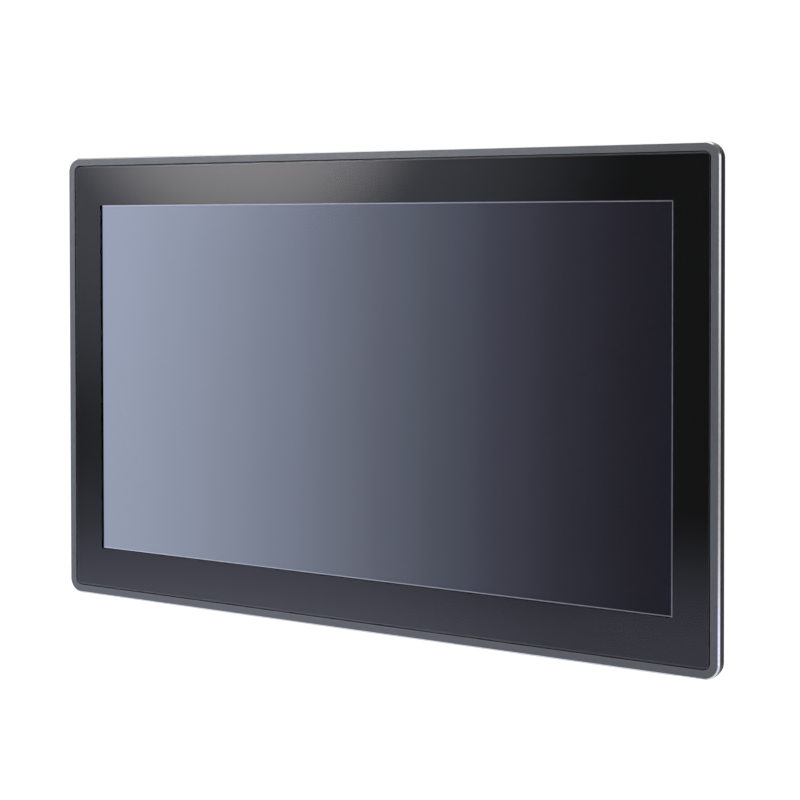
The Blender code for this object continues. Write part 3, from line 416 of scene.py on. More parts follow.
def milled_metal(name):
    """Bare aluminium with the fine lines of a face mill."""
    metal = Finish(name, (0.42, 0.43, 0.445), 0.30, metallic=1.0)
    lines = metal.noise(900.0, 2.0, (0.05, 1.0, 1.0))
    metal.vary(metal.noise(120.0, 3.0), 0.05)
    metal.roughen(lines, 0.24, 0.38)
    metal.bump(lines, 0.000012, 0.5)
    return metal


def moulded_plastic(colour, roughness=0.45):
    """Injection-moulded plastic with a fine spark-eroded texture."""
    def make(name):
        plastic = Finish(name, colour, roughness)
        plastic.vary(plastic.noise(90.0, 3.0), 0.08)
        plastic.roughen(plastic.noise(600.0, 3.0), roughness - 0.07, roughness + 0.09)
        plastic.bump(plastic.noise(3200.0, 1.0), 0.000015, 0.4)
        return plastic
    return make


def rubber(name):
    sheet = Finish(name, (0.018, 0.018, 0.019), 0.78)
    sheet.vary(sheet.noise(140.0, 4.0), 0.25)
    sheet.roughen(sheet.noise(500.0, 3.0), 0.70, 0.88)
    sheet.bump(sheet.noise(2200.0, 3.0), 0.00003, 0.5)
    sheet.set("Sheen Weight", 0.15)
    sheet.set("Sheen Roughness", 0.5)
    return sheet


def clear_glass(index, haze=0.004):
    """Toughened glass; a low index takes the glare away, where it is bonded or coated."""
    def make(name):
        glass = Finish(name, (0.985, 0.99, 0.99), 0.0)
        glass.set("Transmission Weight", 1.0)
        glass.set("IOR", index)
        glass.roughen(glass.noise(6.0), 0.0, haze)
        return glass
    return make


def ground_glass(name):
    """The finely ground edge of the glass."""
    glass = Finish(name, (0.16, 0.17, 0.18), 0.30)
    glass.vary(glass.noise(900.0, 3.0), 0.10)
    glass.roughen(glass.noise(1500.0, 3.0), 0.28, 0.45)
    glass.bump(glass.noise(4000.0, 2.0), 0.00001, 0.4)
    return glass


def laminated_film(name):
    film = Finish(name, (0.96, 0.97, 0.98), 0.02)
    film.set("Transmission Weight", 1.0)
    film.set("IOR", 1.001)
    film.roughen(film.noise(20.0), 0.0, 0.004)
    return film


def printed_ink(name):
    """Black border print, fired onto the back of the glass."""
    ink = Finish(name, (0.0045, 0.0045, 0.0055), 0.35)
    ink.vary(ink.noise(300.0, 3.0), 0.2)
    ink.roughen(ink.noise(900.0, 2.0), 0.30, 0.42)
    ink.bump(ink.noise(3000.0, 1.0), 0.000004, 0.3)
    ink.set("Specular IOR Level", 0.0)
    return ink


PAINTED_REFLECTION_STOPS = (              # share of the picture's width, colour of its painted reflection of a soft light, a blue-grey fade
    (0.00, (0.320, 0.358, 0.459)),
    (0.10, (0.294, 0.329, 0.425)),
    (0.20, (0.257, 0.287, 0.370)),
    (0.30, (0.213, 0.239, 0.310)),
    (0.40, (0.171, 0.191, 0.250)),
    (0.50, (0.128, 0.138, 0.182)),
    (0.60, (0.089, 0.097, 0.128)),
    (0.70, (0.057, 0.060, 0.084)),
    (0.80, (0.034, 0.034, 0.049)),
    (0.90, (0.0195, 0.0185, 0.0270)),
    (1.00, (0.0112, 0.0105, 0.0165)),
)
PAINTED_SHADE_LOW_HIGH = (0.965, 1.045) # painted shade: brightness at the picture's lower and upper edge
MIX_COLOURS = (6, 7)           # a Mix node's two colour inputs, and its colour output
MIX_RESULT = 2


def painted_reflection_display(name):
    """A display that glows with a painted reflection of a soft light: a blue-grey fade from light at its left
    to dark at its right, and painted shade darker towards the bottom.
    """
    low, high = picture_box()
    display = Finish(name, (0.010, 0.010, 0.012), 0.30)
    display.vary(display.noise(400.0, 2.0), 0.1)
    display.roughen(display.noise(1500.0, 2.0), 0.26, 0.36)
    display.bump(display.noise(4000.0, 1.0), 0.000003, 0.3)
    display.set("Specular IOR Level", 0.0)
    apart = display.node("ShaderNodeSeparateXYZ")
    display.link(display.place, apart.inputs["Vector"])
    # Painted reflection of a soft light: the glow fades from light at the left to dark at the right.
    across = display.between(apart.outputs["X"], 0.0, 1.0, low.x, high.x)
    fade = display.node("ShaderNodeValToRGB")
    ramp = fade.color_ramp
    ramp.interpolation = "CARDINAL"
    for position, colour in PAINTED_REFLECTION_STOPS[1:-1]:
        ramp.elements.new(position).color = (*colour, 1.0)
    ramp.elements[0].color = (*PAINTED_REFLECTION_STOPS[0][1], 1.0)
    ramp.elements[len(PAINTED_REFLECTION_STOPS) - 1].color = (*PAINTED_REFLECTION_STOPS[-1][1], 1.0)
    display.link(across, fade.inputs["Fac"])
    # Painted shade: the glow is darker towards the bottom.
    upward = display.between(apart.outputs["Z"], *PAINTED_SHADE_LOW_HIGH, low.z, high.z)
    shade = display.node("ShaderNodeMix", data_type="RGBA", blend_type="MULTIPLY")
    shade.inputs["Factor"].default_value = 1.0
    display.link(fade.outputs["Color"], shade.inputs[MIX_COLOURS[0]])
    display.link(upward, shade.inputs[MIX_COLOURS[1]])
    display.link(shade.outputs[MIX_RESULT], display.shader.inputs["Emission Color"])
    display.set("Emission Strength", 1.0)
    return display


def window_rim(name):
    """A thin step round the display's window that glows with a painted highlight, light at its left and dark
    at its right.
    """
    rim = Finish(name, (0.30, 0.31, 0.36), 0.35, metallic=0.6)
    rim.vary(rim.noise(400.0, 2.0), 0.10)
    rim.roughen(rim.noise(1200.0, 2.0), 0.30, 0.42)
    low, high = picture_box()
    apart = rim.node("ShaderNodeSeparateXYZ")
    rim.link(rim.place, apart.inputs["Vector"])
    fade = rim.node("ShaderNodeValToRGB")
    # Painted highlight: the glow fades from light at the left to dark at the right.
    fade.color_ramp.elements[0].color = (0.40, 0.42, 0.52, 1.0)
    fade.color_ramp.elements[1].color = (0.035, 0.035, 0.055, 1.0)
    rim.link(rim.between(apart.outputs["X"], 0.0, 1.0, low.x, high.x), fade.inputs["Fac"])
    rim.link(fade.outputs["Color"], rim.shader.inputs["Emission Color"])
    rim.set("Emission Strength", 1.0)
    return rim


def clear_plastic(colour, roughness=0.12):
    """A tinted see-through moulding."""
    def make(name):
        lens = Finish(name, colour, roughness)
        lens.vary(lens.noise(200.0, 2.0), 0.06)
        lens.roughen(lens.noise(700.0, 2.0), max(0.02, roughness - 0.05), roughness + 0.06)
        lens.set("Transmission Weight", 0.45)
        lens.set("IOR", 1.49)
        return lens
    return make


def circuit_board(name):
    """Green solder mask over copper tracks."""
    board = Finish(name, (0.012, 0.075, 0.038), 0.38)
    tracks = board.node("ShaderNodeTexBrick")
    tracks.inputs["Scale"].default_value = 260.0
    tracks.inputs["Mortar Size"].default_value = 0.035
    tracks.inputs["Color1"].default_value = (0.012, 0.075, 0.038, 1.0)
    tracks.inputs["Color2"].default_value = (0.014, 0.092, 0.046, 1.0)
    tracks.inputs["Mortar"].default_value = (0.030, 0.170, 0.085, 1.0)
    turn = board.node("ShaderNodeMapping")
    turn.inputs["Rotation"].default_value = (math.radians(90.0), 0.0, 0.0)
    board.link(board.place, turn.inputs["Vector"])
    board.link(turn.outputs["Vector"], tracks.inputs["Vector"])
    board.link(tracks.outputs["Color"], board.shader.inputs["Base Color"])
    board.roughen(board.noise(500.0, 2.0), 0.30, 0.46)
    board.bump(tracks.outputs["Fac"], 0.00002, 0.5)
    return board


FINISH_MAKERS = {
    "dark anodised aluminium": blasted_metal((0.158, 0.166, 0.168), 0.35),
    "polished chamfer": polished_edge,
    "shadowed seam": blasted_metal((0.018, 0.019, 0.020), 0.55),
    "worn anodised edge": blasted_metal((0.30, 0.31, 0.315), 0.32),
    # Painted shade: a darker copy of the dark anodised finish, for the bezel's side walls.
    "shaded anodised side": blasted_metal((0.082, 0.078, 0.086), 0.42),
    "toughened glass": clear_glass(1.5, 0.006),
    "ground glass edge": ground_glass,
    "bonded glass back": clear_glass(1.001),
    "coated glass window": clear_glass(1.12),
    "blackened glass edge": moulded_plastic((0.008, 0.008, 0.009), 0.5),
    "laminated sensor film": laminated_film,
    "black border print": printed_ink,
    # Painted reflection of a soft light and painted shade, glowing from the display.
    "display with painted reflection": painted_reflection_display,
    # Painted highlight, glowing, on the thin step round the display's window.
    "painted highlight rim": window_rim,
    "black rubber": rubber,
    "black powder coat": powder_coat((0.030, 0.031, 0.033)),
    "worn powder coat": powder_coat((0.075, 0.077, 0.080)),
    "black cast aluminium": blasted_metal((0.115, 0.118, 0.124), 0.46, 0.00004),
    "worn fin edge": blasted_metal((0.24, 0.245, 0.25), 0.36),
    "milled aluminium": milled_metal,
    "raw aluminium": plated_metal((0.74, 0.75, 0.77), 0.34),
    "zinc-plated steel": plated_metal((0.60, 0.61, 0.63), 0.34),
    "black oxide steel": plated_metal((0.065, 0.065, 0.070), 0.38, 0.15),
    "nickel": plated_metal((0.66, 0.65, 0.62), 0.32, 0.03),
    "brass": plated_metal((0.72, 0.53, 0.24), 0.28),
    "gold contact": plated_metal((0.85, 0.62, 0.25), 0.24),
    "black plastic": moulded_plastic((0.020, 0.020, 0.021)),
    "grey plastic": moulded_plastic((0.10, 0.105, 0.11)),
    "blue plastic": moulded_plastic((0.015, 0.075, 0.32), 0.40),
    "green plastic": moulded_plastic((0.03, 0.22, 0.07), 0.42),
    "white film": moulded_plastic((0.80, 0.80, 0.79), 0.55),
    "clear sheet": clear_plastic((0.90, 0.93, 0.95), 0.08),
    "green lens": clear_plastic((0.10, 0.62, 0.20), 0.14),
    "amber lens": clear_plastic((0.85, 0.42, 0.05), 0.14),
    "circuit board": circuit_board,
    "grey gap pad": moulded_plastic((0.36, 0.38, 0.41), 0.85),
}


# --- Front -------------------------------------------------------------------------------

PICTURE_MARGIN = Vector((0.00977, 0.0, 0.0122))     # from the display module's outside in
FINE_EDGE = 0.00014            # round on the edges of the bezel and the glass
POST = 0.003                   # radius of the bezel's posts
POST_ROOT = 0.0005             # how far they start inside the bezel
TIP_CLEARANCE = 0.001          # below a screw's tip
CORNER_DISTANCE = 0.3          # the bezel's round corners lie farther than this from its middle
ROUND_AREA = 2e-7              # faces of a fine round are smaller than this, in square metres
PRINT_INSET = 0.0007
PRINT_DEPTHS = (0.00004, 0.00022)      # behind the glass
RIM_DEPTHS = (0.00005, 0.00020)
WINDOW_CORNER = 0.0005
PAINTED_HIGHLIGHT_WIDTH = 0.0006             # width of the painted highlight line round the display's window
GASKET_WIDTH = 0.0128
GASKET_SEAT = 0.0029           # thickness under the lips
GASKET_CORNER = BEZEL_CORNER - 0.0004
LIP_INSETS = (0.0018, 0.0078)  # from the gasket's outside to each lip
LIP_WIDTH = 0.0026
LIP_ROOT = 0.0003


def picture_box():
    """The picture, inside the display module's outside."""
    low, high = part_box("backlight_tray")
    return low + PICTURE_MARGIN, high - PICTURE_MARGIN


def grown(node, side):
    """A node's corners, moved out by side in X and Z."""
    low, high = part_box(node)
    out = Vector((side, 0.0, side))
    return low - out, high + out


def front_bezel():
    low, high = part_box("front_bezel")
    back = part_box("panel_gasket")[0].y - CLEARANCE
    ring = plate("bezel", low, (high.x, back, high.z), BEZEL_CORNER, ARC + 4)
    bevel_edges(ring, lies_at(1, low.y), CHAMFER)
    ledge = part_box("glass_tape")[1].y + CLEARANCE
    opening_low, opening_high = grown("cover_glass", SEAM)
    opening_low += Vector((REST, 0.0, REST))
    opening_high.z += REST
    pocket = plate("pocket", (opening_low.x, low.y - CUT, opening_low.z),
                   (opening_high.x, ledge, opening_high.z), OPENING_CORNER, 12)
    module_low, module_high = grown("backlight_tray", LEDGE_CLEARANCE)
    window = plate("window", (module_low.x, ledge - CUT, module_low.z),
                   (module_high.x, back + CUT, module_high.z), LEDGE_CLEARANCE, 6)
    carve(ring, pocket, window)

    def round_opening(edge):
        return lies_at(1, low.y)(edge) and all(
            abs(v.co.x) < opening_high.x + SEAM and abs(v.co.z) < opening_high.z + SEAM
            for v in edge.verts)
    bevel_edges(ring, round_opening, SEAM_BREAK)
    posts = []
    holes = []
    for node in four("housing_screw"):
        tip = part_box(node)[0].y
        x, z = middle(node).xz
        posts.append(bar("post", POST, (x, back - POST_ROOT, z), (x, high.y, z)))
        holes.append(bar("hole", SCREW_HOLE, (x, tip - TIP_CLEARANCE, z), (x, high.y + CUT, z)))
    weld(ring, join("posts", posts))
    carve(ring, join("holes", holes))
    soften(ring, FINE_EDGE, 2, 25.0, worn=True)
    reach = CHAMFER * 1.3

    def on_chamfer(face):
        slanted = face.center.y < low.y + reach and -0.92 < face.normal.y < -0.4
        at_rim = (abs(face.center.x) > high.x - reach or abs(face.center.z) > high.z - reach
                  or face.center.xz.length > CORNER_DISTANCE)
        return slanted and at_rim and face.area > ROUND_AREA
    paint_faces(ring, 2, on_chamfer)

    def in_seam(face):
        x, y, z = face.center
        beside = abs(face.normal.y) < 0.97
        return (beside and y < ledge and abs(x) < opening_high.x + SEAM_BREAK
                and abs(z) < opening_high.z + SEAM_BREAK)
    paint_faces(ring, 3, in_seam)

    # Painted shade: the bezel's outer side walls get a darker copy of its anodised finish.
    def on_painted_shade_side(face):
        x, y, z = face.center
        outside = abs(x) > high.x - BEZEL_CORNER or abs(z) > high.z - BEZEL_CORNER
        upright = abs(face.normal.y) < 0.3
        return outside and upright and low.y + CHAMFER < y < back and not in_seam(face)
    paint_faces(ring, 4, on_painted_shade_side)
    place(ring, "dark_aluminium", finish("dark anodised aluminium"), finish("worn anodised edge"),
          finish("polished chamfer"), finish("shadowed seam"), finish("shaded anodised side"),
          stands_for=["front_bezel"])


def cover_glass():
    """The glass, its front divided along the picture's edges so that the picture can have a coating."""
    low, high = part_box("cover_glass")
    glass = plate("touch_glass", low, high, OPENING_CORNER - SEAM, 12)
    window_low, window_high = picture_box()
    for corner in (window_low, window_high):
        for along in (Vector((1.0, 0.0, 0.0)), Vector((0.0, 0.0, 1.0))):
            edit(glass, "FACE", lambda face: True)
            bpy.ops.mesh.bisect(plane_co=corner, plane_no=along)
            leave_edit()
    soften(glass, FINE_EDGE, 2, 40.0, worn=True)
    paint_faces(glass, 2, lambda face: face.normal.y > 0.99)
    paint_faces(glass, 3, lambda face: abs(face.normal.y) < 0.1)

    def over_picture(face):
        x, _, z = face.center
        return (face.normal.y < -0.99 and window_low.x < x < window_high.x
                and window_low.z < z < window_high.z)
    paint_faces(glass, 4, over_picture)
    place(glass, "cover_glass", finish("toughened glass"), finish("ground glass edge"),
          finish("bonded glass back"), finish("blackened glass edge"), finish("coated glass window"),
          stands_for=["cover_glass"])


def border_print():
    """The black print between the glass and the tape, with its window for the picture."""
    low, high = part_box("cover_glass")
    front, back = (high.y + depth for depth in PRINT_DEPTHS)
    print_ring = plate("border_print", (low.x + PRINT_INSET, front, low.z + PRINT_INSET),
                       (high.x - PRINT_INSET, back, high.z - PRINT_INSET),
                       OPENING_CORNER - SEAM - PRINT_INSET, 12)
    window_low, window_high = picture_box()
    carve(print_ring, plate("window", (window_low.x, front - CUT, window_low.z),
                            (window_high.x, back + CUT, window_high.z), WINDOW_CORNER, 4))
    smooth(print_ring)
    place(print_ring, "cover_glass", finish("black border print"))


def painted_window_highlight():
    """A thin line along the top, the right side and the bottom of the picture, glowing with a painted
    highlight.
    """
    low, high = picture_box()
    front, back = (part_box("cover_glass")[1].y + depth for depth in RIM_DEPTHS)
    rim = plate("window_rim", (low.x, front, low.z), (high.x, back, high.z), WINDOW_CORNER, 4)
    carve(rim, plate("inside", (low.x - PAINTED_HIGHLIGHT_WIDTH, front - CUT, low.z + PAINTED_HIGHLIGHT_WIDTH),
                     (high.x - PAINTED_HIGHLIGHT_WIDTH, back + CUT, high.z - PAINTED_HIGHLIGHT_WIDTH), WINDOW_CORNER * 0.6, 3))
    smooth(rim)
    place(rim, "display", finish("painted highlight rim"))


def gasket():
    """Foam gasket with two raised lips that seal against the cabinet."""
    low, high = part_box("panel_gasket")
    seat = low.y + GASKET_SEAT

    def ring(name, front, back, outside, across, radius):
        inset = Vector((outside, 0.0, outside))
        near = low + inset
        far = high - inset
        made = plate(name, (near.x, front, near.z), (far.x, back, far.z), radius, 14)
        carve(made, plate("hole", (near.x + across, front - CUT, near.z + across),
                          (far.x - across, back + CUT, far.z - across), max(0.004, radius - across), 14))
        return made
    strip = ring("sealing_gasket", low.y, seat, 0.0, GASKET_WIDTH, GASKET_CORNER)
    for outside in LIP_INSETS:
        weld(strip, ring("lip", seat - LIP_ROOT, high.y, outside, LIP_WIDTH, GASKET_CORNER - outside * 0.6))
    soften(strip, 0.0004, 2, 50.0)
    place(strip, "black_rubber", finish("black rubber"), stands_for=["panel_gasket"])


# --- Rear housing ------------------------------------------------------------------------

WALL = 0.0015
HOUSING_CORNER = 0.006
HOUSING_FOLD = 0.0024          # outer radius of the folds round the back
THROUGH = 0.004                # reach of a tool on each side of a wall
CLAMP_SLOT = (0.014, 0.0055)   # length and width
CLAMP_SLOT_STATION = 0.0165    # from the bezel's front
CLAMP_SPREAD = (0.62, 0.5)     # share of the housing between the outermost slots, across and up
VENT = (0.003, 0.060)
VENT_PITCH = 0.009
VENTS_PER_ROW = 8
VENT_ROW_Z = 0.055


def slot_tool(name, centre, size, axis):
    """A long slot with round ends, cut along an axis."""
    half = Vector(size) / 2
    radius = min(half[i] for i in range(3) if i != axis) * 0.999
    return plate(name, Vector(centre) - half, Vector(centre) + half, radius, 5, axis)


def clamp_slots(low, high):
    """Slots for the mounting clamps: three in the top and bottom wall, two in each side wall."""
    long, wide = CLAMP_SLOT
    y = CAD_BOUNDS[0].y + CLAMP_SLOT_STATION
    slots = []
    for side in (-1, 1):
        for share in (-0.5, 0.0, 0.5):
            place_x = share * (high.x - low.x) * CLAMP_SPREAD[0]
            slots.append(slot_tool("slot", (place_x, y, side * high.z), (long, wide, 2 * THROUGH), 2))
        for share in (-0.5, 0.5):
            place_z = share * (high.z - low.z) * CLAMP_SPREAD[1]
            slots.append(slot_tool("slot", (side * high.x, y, place_z), (2 * THROUGH, wide, long), 0))
    return slots


def vents(side_x, back):
    """Four fields of upright slots, half-way between the electronics box and the housing's sides."""
    middle_x = (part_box("heatsink_cover")[1].x + side_x) / 2
    size = (VENT[0], THROUGH + CUT, VENT[1])
    slots = []
    for side in (-1, 1):
        for z in (-VENT_ROW_Z, VENT_ROW_Z):
            for step in range(VENTS_PER_ROW):
                x = side * middle_x + (step - (VENTS_PER_ROW - 1) / 2) * VENT_PITCH
                slots.append(slot_tool("vent", (x, back + (CUT - THROUGH) / 2, z), size, 1))
    return slots


def rear_housing():
    """Folded pan with clamp slots, vents and screw holes."""
    low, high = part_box("rear_housing")
    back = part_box("electronics_box")[0].y - CLEARANCE
    pan = plate("rear_pan", low, (high.x, back, high.z), HOUSING_CORNER, 14)
    bevel_edges(pan, lies_at(1, back), HOUSING_FOLD, 6)
    hollow = plate("hollow", (low.x + WALL, low.y - CUT, low.z + WALL),
                   (high.x - WALL, back - WALL, high.z - WALL), HOUSING_CORNER - WALL, 12)
    bevel_edges(hollow, lies_at(1, back - WALL), HOUSING_FOLD - WALL, 3)
    carve(pan, hollow)
    tools = clamp_slots(low, high) + vents(high.x, back)
    for node in four("housing_screw"):
        x, z = middle(node).xz
        tools.append(bar("hole", SCREW_HOLE, (x, back - THROUGH, z), (x, back + CUT, z)))
    carve(pan, join("openings", tools))
    soften(pan, 0.00025, 2, 40.0, worn=True)
    place(pan, "powder_coat", finish("black powder coat"), finish("worn powder coat"),
          stands_for=["rear_housing"])


def refined(node, name, width, slot, *finishes, body=PANEL):
    """A frame node's own shape with fine rounded edges."""
    piece = merged_copy(name, node)
    soften(piece, width, worn=len(finishes) > 1)
    place(piece, slot, *[finish(f) for f in finishes], stands_for=[node], body=body)


def electronics_box():
    refined("electronics_box", "electronics_case", 0.00022, "powder_coat", "black powder coat",
            "worn powder coat")


# --- Cooling cover -------------------------------------------------------------------------

FIN_PITCH = 0.008
FIN = 0.0022                   # thickness
FIN_ROUND = 0.0007
FIN_ROOT = 0.0008              # how far a fin starts inside the cover's plate
COVER_CORNER = 0.002
PAD_HALF = 0.060
PAD_PROUD = 0.0005
PAD_CORNER = 0.003
PAD_ROOT = 0.001
POCKET = 0.0045                # radius of the pockets for the cover's screws
INSERT_BORE = 0.00315


def fins(low, high, floor, tip):
    """Upright fins, parted where the mounting pad lies."""
    count = int((high.x - low.x - FIN) / FIN_PITCH)
    first = -FIN_PITCH * (count - 1) / 2
    made = []
    for index in range(count + 1):
        x = first + (index - 0.5) * FIN_PITCH
        left = low.x if index == 0 else x - FIN / 2
        right = high.x if index == count else x + FIN / 2
        spans = [(low.z, high.z)]
        if abs(x) - FIN / 2 < PAD_HALF:
            spans = [(low.z, -PAD_HALF + CUT), (PAD_HALF - CUT, high.z)]
        for bottom, top in spans:
            fin = block("fin", (left, floor - FIN_ROOT, bottom), (right, tip, top))
            bevel_edges(fin, lambda e: lies_at(1, tip)(e) and runs_along(2)(e), FIN_ROUND, 4)
            made.append(fin)
    return join("fins", made)


def heatsink_cover():
    """Cast cover with rounded fins and a milled pad for the wall or arm mount."""
    low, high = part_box("heatsink_cover")
    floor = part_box("cover_screw_1")[1].y - SCREW_HEAD_RISE - CLEARANCE
    cover = plate("cooling_cover", low, (high.x, floor, high.z), COVER_CORNER, 6)
    weld(cover, fins(low, high, floor, high.y - PAD_PROUD))
    weld(cover, plate("pad", (-PAD_HALF, low.y + PAD_ROOT, -PAD_HALF), (PAD_HALF, high.y, PAD_HALF),
                      PAD_CORNER, 6))
    pockets = []
    bores = []
    for screw, insert in zip(four("cover_screw"), four("vesa_insert")):
        x, z = middle(screw).xz
        pockets.append(bar("pocket", POCKET, (x, floor, z), (x, high.y + CUT, z), 40))
        bores.append(bar("hole", SCREW_HOLE, (x, low.y - CUT, z), (x, high.y, z)))
        x, z = middle(insert).xz
        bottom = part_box(insert)[0].y - TIP_CLEARANCE
        bores.append(bar("bore", INSERT_BORE, (x, bottom, z), (x, high.y + CUT, z), 40))
    carve(cover, join("pockets", pockets))
    carve(cover, join("bores", bores))
    soften(cover, 0.0003, 2, 40.0, worn=True)
    paint_faces(cover, 2, lambda face: face.normal.y > 0.99 and face.center.y > high.y - 1e-5)
    place(cover, "heatsink_aluminium", finish("black cast aluminium"), finish("worn fin edge"),
          finish("milled aluminium"), stands_for=["heatsink_cover"])


# --- Fasteners ---------------------------------------------------------------------------

SCREW_HEAD = 0.0028            # radius
SCREW_HEAD_RISE = 0.002
SCREW_HEAD_ROUND = 0.00045
SCREW_SHANK = 0.0014
SCREW_KEY = 0.0014
SCREW_KEY_DEPTH = 0.0012
HOUSING_SCREW_LENGTH = 0.010
COVER_SCREW_LENGTH = 0.014
THREAD_PITCH = 0.0007
INSERT = 0.00298               # radius outside and inside, and of the thread's ring and groove
INSERT_HOLE = 0.00165
INSERT_THREAD = (0.00178, 0.00022)
STUD_THREAD = (0.00200, 0.00025)


def four(kind):
    """The four nodes of one kind."""
    return [f"{kind}_{index}" for index in range(1, 5)]


def cap_screw(name, length):
    """A low cap screw at the origin, its seat at y = 0 and its head behind it."""
    top = CLEARANCE + SCREW_HEAD_RISE
    screw = bar(name, SCREW_HEAD, (0.0, CLEARANCE, 0.0), (0.0, top, 0.0), 48)
    bevel_edges(screw, lies_at(1, top), SCREW_HEAD_ROUND, 4)
    root = CLEARANCE + SCREW_HEAD_RISE / 2
    weld(screw, bar("shank", SCREW_SHANK, (0.0, -length, 0.0), (0.0, root, 0.0), 24))
    carve(screw, bar("key", SCREW_KEY, (0.0, top - SCREW_KEY_DEPTH, 0.0), (0.0, top + CUT, 0.0), 6))
    return soften(screw, 0.00010, 2, 35.0)


def fasteners():
    for kind, look, length in (("housing_screw", "zinc-plated steel", HOUSING_SCREW_LENGTH),
                               ("cover_screw", "black oxide steel", COVER_SCREW_LENGTH)):
        pattern = cap_screw(kind + "_pattern", length)
        for index, node in enumerate(four(kind), start=1):
            x, z = middle(node).xz
            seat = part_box(node)[1].y - SCREW_HEAD_RISE - CLEARANCE
            screw = copy_to(pattern, f"{kind}_fine_{index}", (x, seat, z))
            place(screw, "zinc_steel", finish(look), stands_for=[node])
        bpy.data.objects.remove(pattern, do_unlink=True)


def thread(name, first, step, count, size, turn=(0.0, 0.0, 0.0)):
    """Rings that cut a thread: the first one's centre, the step between them, ring and groove radius."""
    rings = []
    for index in range(count):
        deselect()
        bpy.ops.mesh.primitive_torus_add(location=Vector(first) + Vector(step) * index, rotation=turn,
                                         major_segments=32, minor_segments=6, major_radius=size[0],
                                         minor_radius=size[1])
        rings.append(settle("turn"))
    return join(name, rings)


def threaded_inserts():
    """Brass inserts with a threaded bore."""
    low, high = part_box("vesa_insert_1")
    centre = middle("vesa_insert_1")
    x, _, z = centre
    insert = bar("insert_pattern", INSERT, (x, low.y, z), (x, high.y, z), 48)
    carve(insert, bar("bore", INSERT_HOLE, (x, low.y - CUT, z), (x, high.y + CUT, z), 40))
    count = int((high.y - low.y) / THREAD_PITCH) - 1
    carve(insert, thread("thread", (x, low.y + THREAD_PITCH, z), (0.0, THREAD_PITCH, 0.0), count,
                         INSERT_THREAD, (math.radians(90.0), 0.0, 0.0)))
    soften(insert, 0.00008, 1, 50.0)
    for index, node in enumerate(four("vesa_insert"), start=1):
        twin = copy_to(insert, f"threaded_insert_{index}", middle(node) - centre)
        place(twin, "brass", finish("brass"), stands_for=[node])
    bpy.data.objects.remove(insert, do_unlink=True)


# --- Controls ------------------------------------------------------------------------------

POWER_KEY_STEPS = (            # insets of the face: across, and out or in
    (0.0010, 0.0), (0.0002, -0.0003), (0.0003, 0.0), (0.0002, 0.0002), (0.0012, -0.0002),
    (0.0008, -0.0001),
)
RESET_KEY_STEPS = ((0.0005, -0.0002),)
LIGHT_DOME = 0.0007
SLIDER_GROOVE = (0.00044, 0.0004)      # width and depth
SLIDER_GROOVE_STEP = 0.28              # share of the knob's width


def push_key(node, name, steps, sides, width, segments, look):
    """A round key whose face is stepped by insets."""
    low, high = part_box(node)
    x, y, _ = middle(node)
    key = bar(name, (high.x - low.x) / 2, (x, y, low.z), (x, y, high.z), sides)
    edit(key, "FACE", lambda face: face.normal.z < -0.99)
    for across, rise in steps:
        bpy.ops.mesh.inset(thickness=across, depth=rise)
    leave_edit()
    soften(key, width, segments, 35.0)
    place(key, "black_plastic", finish(look), stands_for=[node], body=node)


def power_button():
    """Round push button with a ring groove and a dished face."""
    push_key("power_button", "power_key", POWER_KEY_STEPS, 56, 0.00018, 3, "grey plastic")


def reset_button():
    push_key("reset_button", "reset_key", RESET_KEY_STEPS, 32, 0.00012, 2, "black plastic")


def power_led():
    """A light pipe with a domed end."""
    low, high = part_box("power_led")
    x, y, _ = middle("power_led")
    lens = bar("power_light", (high.x - low.x) / 2, (x, y, low.z), (x, y, high.z), 32)
    bevel_edges(lens, lies_at(2, low.z), LIGHT_DOME, 5)
    smooth(lens, 60.0)
    place(lens, "green_lens", finish("green lens"), stands_for=["power_led"])


def mode_switch():
    """A slide knob with three grip grooves."""
    low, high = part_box("mode_switch")
    knob = block("mode_slider", low, high)
    wide, deep = SLIDER_GROOVE
    grooves = []
    for step in (-1, 0, 1):
        x = (low.x + high.x) / 2 + step * (high.x - low.x) * SLIDER_GROOVE_STEP
        grooves.append(block("groove", (x - wide / 2, low.y - CUT, low.z - CUT),
                             (x + wide / 2, high.y + CUT, low.z + deep)))
    carve(knob, join("grooves", grooves))
    soften(knob, 0.00010, 2, 40.0)
    place(knob, "black_plastic", finish("black plastic"), stands_for=["mode_switch"], body="mode_switch")


def earth_point():
    """Threaded stud with its nut."""
    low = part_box("earth_stud")[0]
    x, y, _ = middle("earth_stud")
    stud = merged_copy("earth_bolt", "earth_stud")
    count = int((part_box("earth_nut")[0].z - low.z) / THREAD_PITCH) - 1
    carve(stud, thread("thread", (x, y, low.z + 1.2 * THREAD_PITCH), (0.0, 0.0, THREAD_PITCH), count,
                       STUD_THREAD))
    bevel_edges(stud, lies_at(2, low.z), 0.0003, 2)
    smooth(stud, 40.0)
    place(stud, "brass", finish("brass"), stands_for=["earth_stud"])
    nut = merged_copy("earth_lock_nut", "earth_nut")
    soften(nut, 0.00035, 3, 50.0)
    place(nut, "brass", finish("brass"), stands_for=["earth_nut"])


# --- Sockets, each with its depths measured up from its mouth --------------------------------

